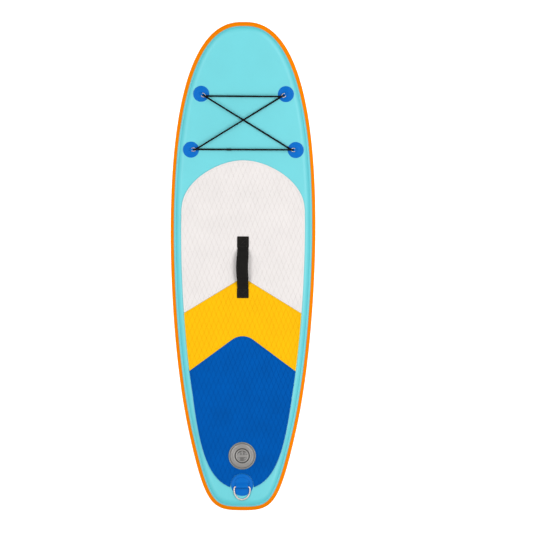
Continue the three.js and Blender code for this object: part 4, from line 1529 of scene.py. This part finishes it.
@dataclass
class LeashPoint:
    """The tail ring for the leash: a round patch, a strap held under a cover, and the ring.

    Its places along the board are in metres, its sizes in millimetres and its tilt in degrees.
    """

    palette: Palette
    y: float = -0.818
    patch: float = 41.5
    top: float = 2.8
    bar_y: float = -0.826
    bar_z: float = 7.2
    wire: float = 2.9
    half: float = 29.6
    drop: float = 47.0
    rest_tilt: float = 2.3

    def build_patch(self) -> None:
        """Makes the stepped patch."""
        shaper = Shaper()
        shaper.turned([(0, 0.3), (self.patch - 0.8, 0.3), (self.patch, 0.6), (self.patch, 1.4),
                       (self.patch - 0.5, 1.8), (self.patch - 1.6, 2.0), (35.4, 2.15), (34.6, 2.3),
                       (33.8, 2.7), (32.8, self.top), (0, self.top)])
        Piece("leash_patch_disc", shaper, self.palette.patch, "patch_blue", stands_for=("leash_patch",),
              place=Matrix.Translation((0, self.y, DECK)), sharp=42).make()

    def build_strap(self) -> None:
        """Makes the strap: flat under the cover, round the ring's bar and back."""
        shaper = Shaper()
        inner, outer = self.wire + 0.35, self.wire + 2.0
        low = self.top + 0.3 - self.bar_z
        arc = [(-outer * math.sin(a), outer * math.cos(a))
               for a in (math.pi * i / 14 for i in range(15))]
        line = [(23, low), (23, low + 2), (12, low + 2), (9.5, low + 3.2), (7.0, low + 6.2),
                (4.0, outer - 0.4),
                *arc[:-2], (-1.5, low)]
        hole = [(-inner * math.sin(a), inner * math.cos(a))
                for a in (math.tau * i / 24 for i in range(24))]
        place = Matrix.Translation((0, self.bar_y, DECK + self.bar_z * MM))
        for sign in (-1, 1):
            rims = [[mm(sign * 23, y, z) for y, z in profile] for profile in (line, hole)]
            loops = [shaper.loop(rim) for rim in rims]
            shaper.fill(loops)
        rim = [edge for edge in shaper.bm.edges if edge.is_boundary]
        round_hole = [edge for edge in rim if all(
            abs(math.hypot(vert.co.y, vert.co.z) - inner * MM) < 1e-5 for vert in edge.verts)]
        outside = [edge for edge in rim if edge not in set(round_hole)]
        for edges in (outside, round_hole):
            bmesh.ops.bridge_loops(shaper.bm, edges=edges)
        Piece("leash_strap_loop", shaper, self.palette.patch, "patch_blue", stands_for=("leash_strap",),
              place=place, bevel=0.0005, sharp=40).make()

    def build_cover(self) -> None:
        """Makes the domed half-moon cover over the strap's tail."""
        shaper = Shaper()
        steps = ((0, 0), (0, 1.4), (0.4, 2.6), (1.2, 3.4), (2.6, 3.9), (5.0, 4.2))
        angles = [math.pi * i / 32 for i in range(33)]
        shaper.skin([[mm((27.5 - inset) * math.cos(a), 13.5 + inset + (22 - 2 * inset) * math.sin(a),
                         height) for a in angles] for inset, height in steps], caps=True)
        Piece("leash_cover_dome", shaper, self.palette.patch, "patch_blue", stands_for=("leash_cover",),
              place=Matrix.Translation((0, self.bar_y, DECK + (self.top + 0.3) * MM)), sharp=50).make()

    def build_ring(self) -> None:
        """Makes the steel ring, resting on the patch."""
        shaper = Shaper()
        shaper.tube(d_line(self.half, 12.0, self.drop, 6.0, 40), self.wire * MM, sides=20)
        tilt = Matrix.Rotation(math.radians(self.rest_tilt), 4, "Y")
        turn = Matrix.Rotation(-math.pi / 2, 4, "Z") @ tilt
        place = Matrix.Translation((0, self.bar_y, DECK + self.bar_z * MM)) @ turn
        Piece("leash_ring_wire", shaper, self.palette.steel, "steel", body="leash_ring",
              stands_for=("leash_ring",), place=place, sharp=60).make()

    def build(self) -> None:
        """Makes the leash point."""
        self.build_patch()
        self.build_strap()
        self.build_cover()
        self.build_ring()


# ---------------------------------------------------------------- fins


@dataclass
class Fins:
    """The underside: a fin box with its centre fin, and two fixed side fins.

    Places are in metres, depths in millimetres and the cant in degrees.
    """

    palette: Palette
    y: float = -0.640
    depth: float = 145.0
    side_x: float = 0.138
    side_y: float = -0.648
    side_depth: float = 66.0
    cant: float = 4.0

    @staticmethod
    def foil(lead: float, trail: float, half: float, depth: float) -> Ring:
        """One section of a fin: a round leading edge and a fine trailing edge.

        Args:
            lead: Y of the leading edge.
            trail: Y of the trailing edge.
            half: Half its greatest thickness.
            depth: Distance below the hull.

        Returns:
            The section's points.
        """
        steps = 14
        upper = []
        for i in range(steps + 1):
            part = 0.5 - 0.5 * math.cos(math.pi * i / steps)
            root = 0.2969 * math.sqrt(part) - 0.126 * part - 0.3516 * part ** 2
            thick = 10 * half * (root + 0.2843 * part ** 3 - 0.1 * part ** 4) + 0.12 * part
            upper.append((thick, lead + (trail - lead) * part))
        lower = [(-x, y) for x, y in reversed(upper[1:])]
        return [mm(x, y, -depth) for x, y in upper + lower[:-1] + [(-upper[1][0], upper[1][1])]]

    def blade(self, shaper: Shaper, edges: Sequence[Sequence[float]], halves: tuple[float, float],
              span: tuple[float, float]) -> None:
        """Lofts a fin blade.

        Args:
            shaper: The mesh to add it to.
            edges: Leading and trailing edge curves, as four values of Y each.
            halves: Half thickness at the root and the tip.
            span: Depth at the root and the tip.
        """
        count = 22
        rings = []
        for i in range(count + 1):
            part = i / count
            rest = 1 - part
            weights = (rest ** 3, 3 * rest ** 2 * part, 3 * rest * part ** 2, part ** 3)
            lead, trail = (sum(weight * value for weight, value in zip(weights, curve))
                           for curve in edges)
            half = halves[0] + (halves[1] - halves[0]) * part ** 1.2
            rings.append(self.foil(lead, trail, half, span[0] + (span[1] - span[0]) * part))
        shaper.skin(rings, caps=True)

    @staticmethod
    def rounded(wide: float, long: float, corner: float, z: float) -> Ring:
        """A rectangle with round corners, in millimetres.

        Args:
            wide: Half its width.
            long: Half its length.
            corner: Corner radius.
            z: Its height.

        Returns:
            The rectangle's points.
        """
        return [mm(sx * (wide - corner) + corner * math.cos(a),
                   sy * (long - corner) + corner * math.sin(a), z)
                for sx, sy, quarter in ((1, 1, 0), (-1, 1, 1), (-1, -1, 2), (1, -1, 3))
                for a in (math.pi / 2 * (quarter + i / 6) for i in range(7))]

    def build_box(self) -> None:
        """Makes the glued base and the channel that takes the fin."""
        shaper = Shaper()
        bm = shaper.bm
        shaper.plate(mm(-48, -138.5, -3.3), mm(48, 138.5, -0.3), 0.028, 10)
        outer = [face for face in bm.faces if face.normal.z < -0.9]
        bmesh.ops.inset_region(bm, faces=outer, thickness=0.0012, depth=0.0005, use_even_offset=True)
        Piece("fin_box_base", shaper, self.palette.black, "fitting_black",
              place=Matrix.Translation((0, self.y, HULL_BOTTOM)), bevel=0.0005, sharp=40).make()
        channel = Shaper()
        walls = ((15.0, 112.5, 9.0, -3.0), (15.0, 112.5, 9.0, -24.3), (4.9, 107.5, 2.0, -24.3),
                 (4.9, 107.5, 2.0, -19.0), (8.3, 107.5, 2.0, -19.0), (8.3, 107.5, 2.0, -12.4),
                 (4.9, 107.5, 2.0, -12.4), (4.9, 107.5, 2.0, -4.3))
        channel.skin([self.rounded(*wall) for wall in walls], caps=True)
        Piece("fin_box_channel", channel, self.palette.black, "fitting_black", stands_for=("fin_box",),
              place=Matrix.Translation((0, self.y, HULL_BOTTOM)), bevel=0.0005, sharp=40).make()

    def build_centre(self) -> None:
        """Makes the removable centre fin with its tab."""
        shaper = Shaper()
        self.blade(shaper, ((76, 62, 18, -126), (-92, -98, -118, -141)), (4.4, 0.6), (21, self.depth))
        shaper.box(mm(-4.6, -94, -24), mm(4.6, 76, -6), bevel=0.0006)
        shaper.box(mm(-4.6, 74, -23.4), mm(4.6, 97, -19.6), bevel=0.0006)
        Piece("centre_fin_blade", shaper, self.palette.fin, "fin_plastic", body="centre_fin",
              stands_for=("centre_fin",), place=Matrix.Translation((0, self.y, HULL_BOTTOM)),
              sharp=35).make()

    def build_side(self, name: str, side: int) -> None:
        """Makes one fixed side fin with its glued base.

        Args:
            name: The frame part it stands for.
            side: -1 on the left, 1 on the right.
        """
        plate = Shaper()
        plate.plate(mm(-21, -62, -3.3), mm(21, 62, -0.3), 0.017, 8)
        place = Matrix.Translation((side * self.side_x, self.side_y, HULL_BOTTOM))
        Piece(f"{name}_base", plate, self.palette.fin, "fin_plastic", place=place,
              bevel=0.0008, sharp=40).make()
        blade = Shaper()
        self.blade(blade, ((46, 34, 2, -53), (-47, -50, -58, -66)), (3.4, 0.5), (2.4, self.side_depth))
        tilt = Matrix.Rotation(math.radians(-side * self.cant), 4, "Y")
        Piece(f"{name}_blade", blade, self.palette.fin, "fin_plastic", stands_for=(name,),
              place=place @ tilt, sharp=35).make()

    def build(self) -> None:
        """Makes the box and the fins."""
        self.build_box()
        self.build_centre()
        self.build_side("side_fin_left", -1)
        self.build_side("side_fin_right", 1)


# ---------------------------------------------------------------- studio


@dataclass(frozen=True)
class SoftLight:
    """A long soft light that runs along the board and faces it."""

    name: str
    place: tuple[float, float, float]
    power: float
    width: float = 1.3
    length: float = 4.6

    def hang(self) -> None:
        """Hangs the light, turned about Y to face the middle of the deck."""
        data = bpy.data.lights.new(self.name, "AREA")
        data.shape = "RECTANGLE"
        data.size, data.size_y = self.width, self.length
        data.energy = self.power
        lamp = bpy.data.objects.new(self.name, data)
        lamp.location = self.place
        lamp.rotation_euler = (0.0, math.atan2(self.place[0], self.place[2] - DECK), 0.0)
        bpy.context.scene.collection.objects.link(lamp)


@dataclass
class Studio:
    """A pale floor, two long soft lights and the camera straight above the deck."""

    lights: tuple[SoftLight, ...] = (SoftLight("key", (1.7, 0.2, 3.5), 78.0),
                                     SoftLight("fill", (-1.7, 0.2, 3.5), 62.0))
    view_width: float = 1.9955
    aside: float = 0.0884
    ahead: float = -0.0004
    turn: float = 0.0038
    distance: float = 40.0
    sky: float = 0.50
    floor_glow: float = 0.55

    def build_floor(self) -> None:
        """Lays the pale floor, which is lit a little from below like a sweep table."""
        mesh = bpy.data.meshes.new("floor")
        bm = bmesh.new()
        bmesh.ops.create_grid(bm, x_segments=1, y_segments=1, size=20.0)
        bm.to_mesh(mesh)
        bm.free()
        floor = bpy.data.objects.new("floor", mesh)
        floor.location.z = CAD_BOUNDS[0][2] - 0.0005
        bpy.context.scene.collection.objects.link(floor)
        material = bpy.data.materials.new("pale_floor")
        material.use_nodes = True
        shader = material.node_tree.nodes["Principled BSDF"]
        shader.inputs["Base Color"].default_value = (0.9, 0.9, 0.9, 1.0)
        shader.inputs["Roughness"].default_value = 0.9
        shader.inputs["Specular IOR Level"].default_value = 0.1
        shader.inputs["Emission Color"].default_value = (1.0, 1.0, 1.0, 1.0)
        shader.inputs["Emission Strength"].default_value = self.floor_glow
        mesh.materials.append(material)

    def build_sky(self) -> None:
        """Sets an even white sky."""
        world = bpy.data.worlds.new("studio")
        bpy.context.scene.world = world
        world.use_nodes = True
        background = world.node_tree.nodes["Background"]
        background.inputs["Color"].default_value = (1.0, 1.0, 1.0, 1.0)
        background.inputs["Strength"].default_value = self.sky

    def build_camera(self) -> None:
        """Sets the camera high above the deck with a long lens, so that the view is almost flat."""
        data = bpy.data.cameras.new("camera")
        data.sensor_width = 36.0
        data.lens = data.sensor_width * self.distance / self.view_width
        data.clip_end = 100.0
        camera = bpy.data.objects.new("camera", data)
        camera.location = (self.aside, self.ahead, DECK + self.distance)
        camera.rotation_euler = (0.0, 0.0, self.turn)
        bpy.context.scene.collection.objects.link(camera)
        bpy.context.scene.camera = camera

    def build(self) -> None:
        """Sets up the floor, the lights, the sky and the camera."""
        bpy.context.scene.view_settings.view_transform = "Standard"
        self.build_floor()
        self.build_sky()
        for light in self.lights:
            light.hang()
        self.build_camera()


def main() -> None:
    """Builds the board's sub-assemblies in order, then the studio round them."""
    logging.basicConfig(level=logging.INFO, format="%(name)s %(message)s")
    palette = Palette()
    palette.dress_frame()
    assemblies = (Hull, DeckPad, Bungee, Handle, Valve, LeashPoint, Fins)
    for assembly in assemblies:
        assembly(palette).build()
        log.info("%s is built", assembly.__name__)
    Studio().build()


if __name__ == "__main__":
    main()
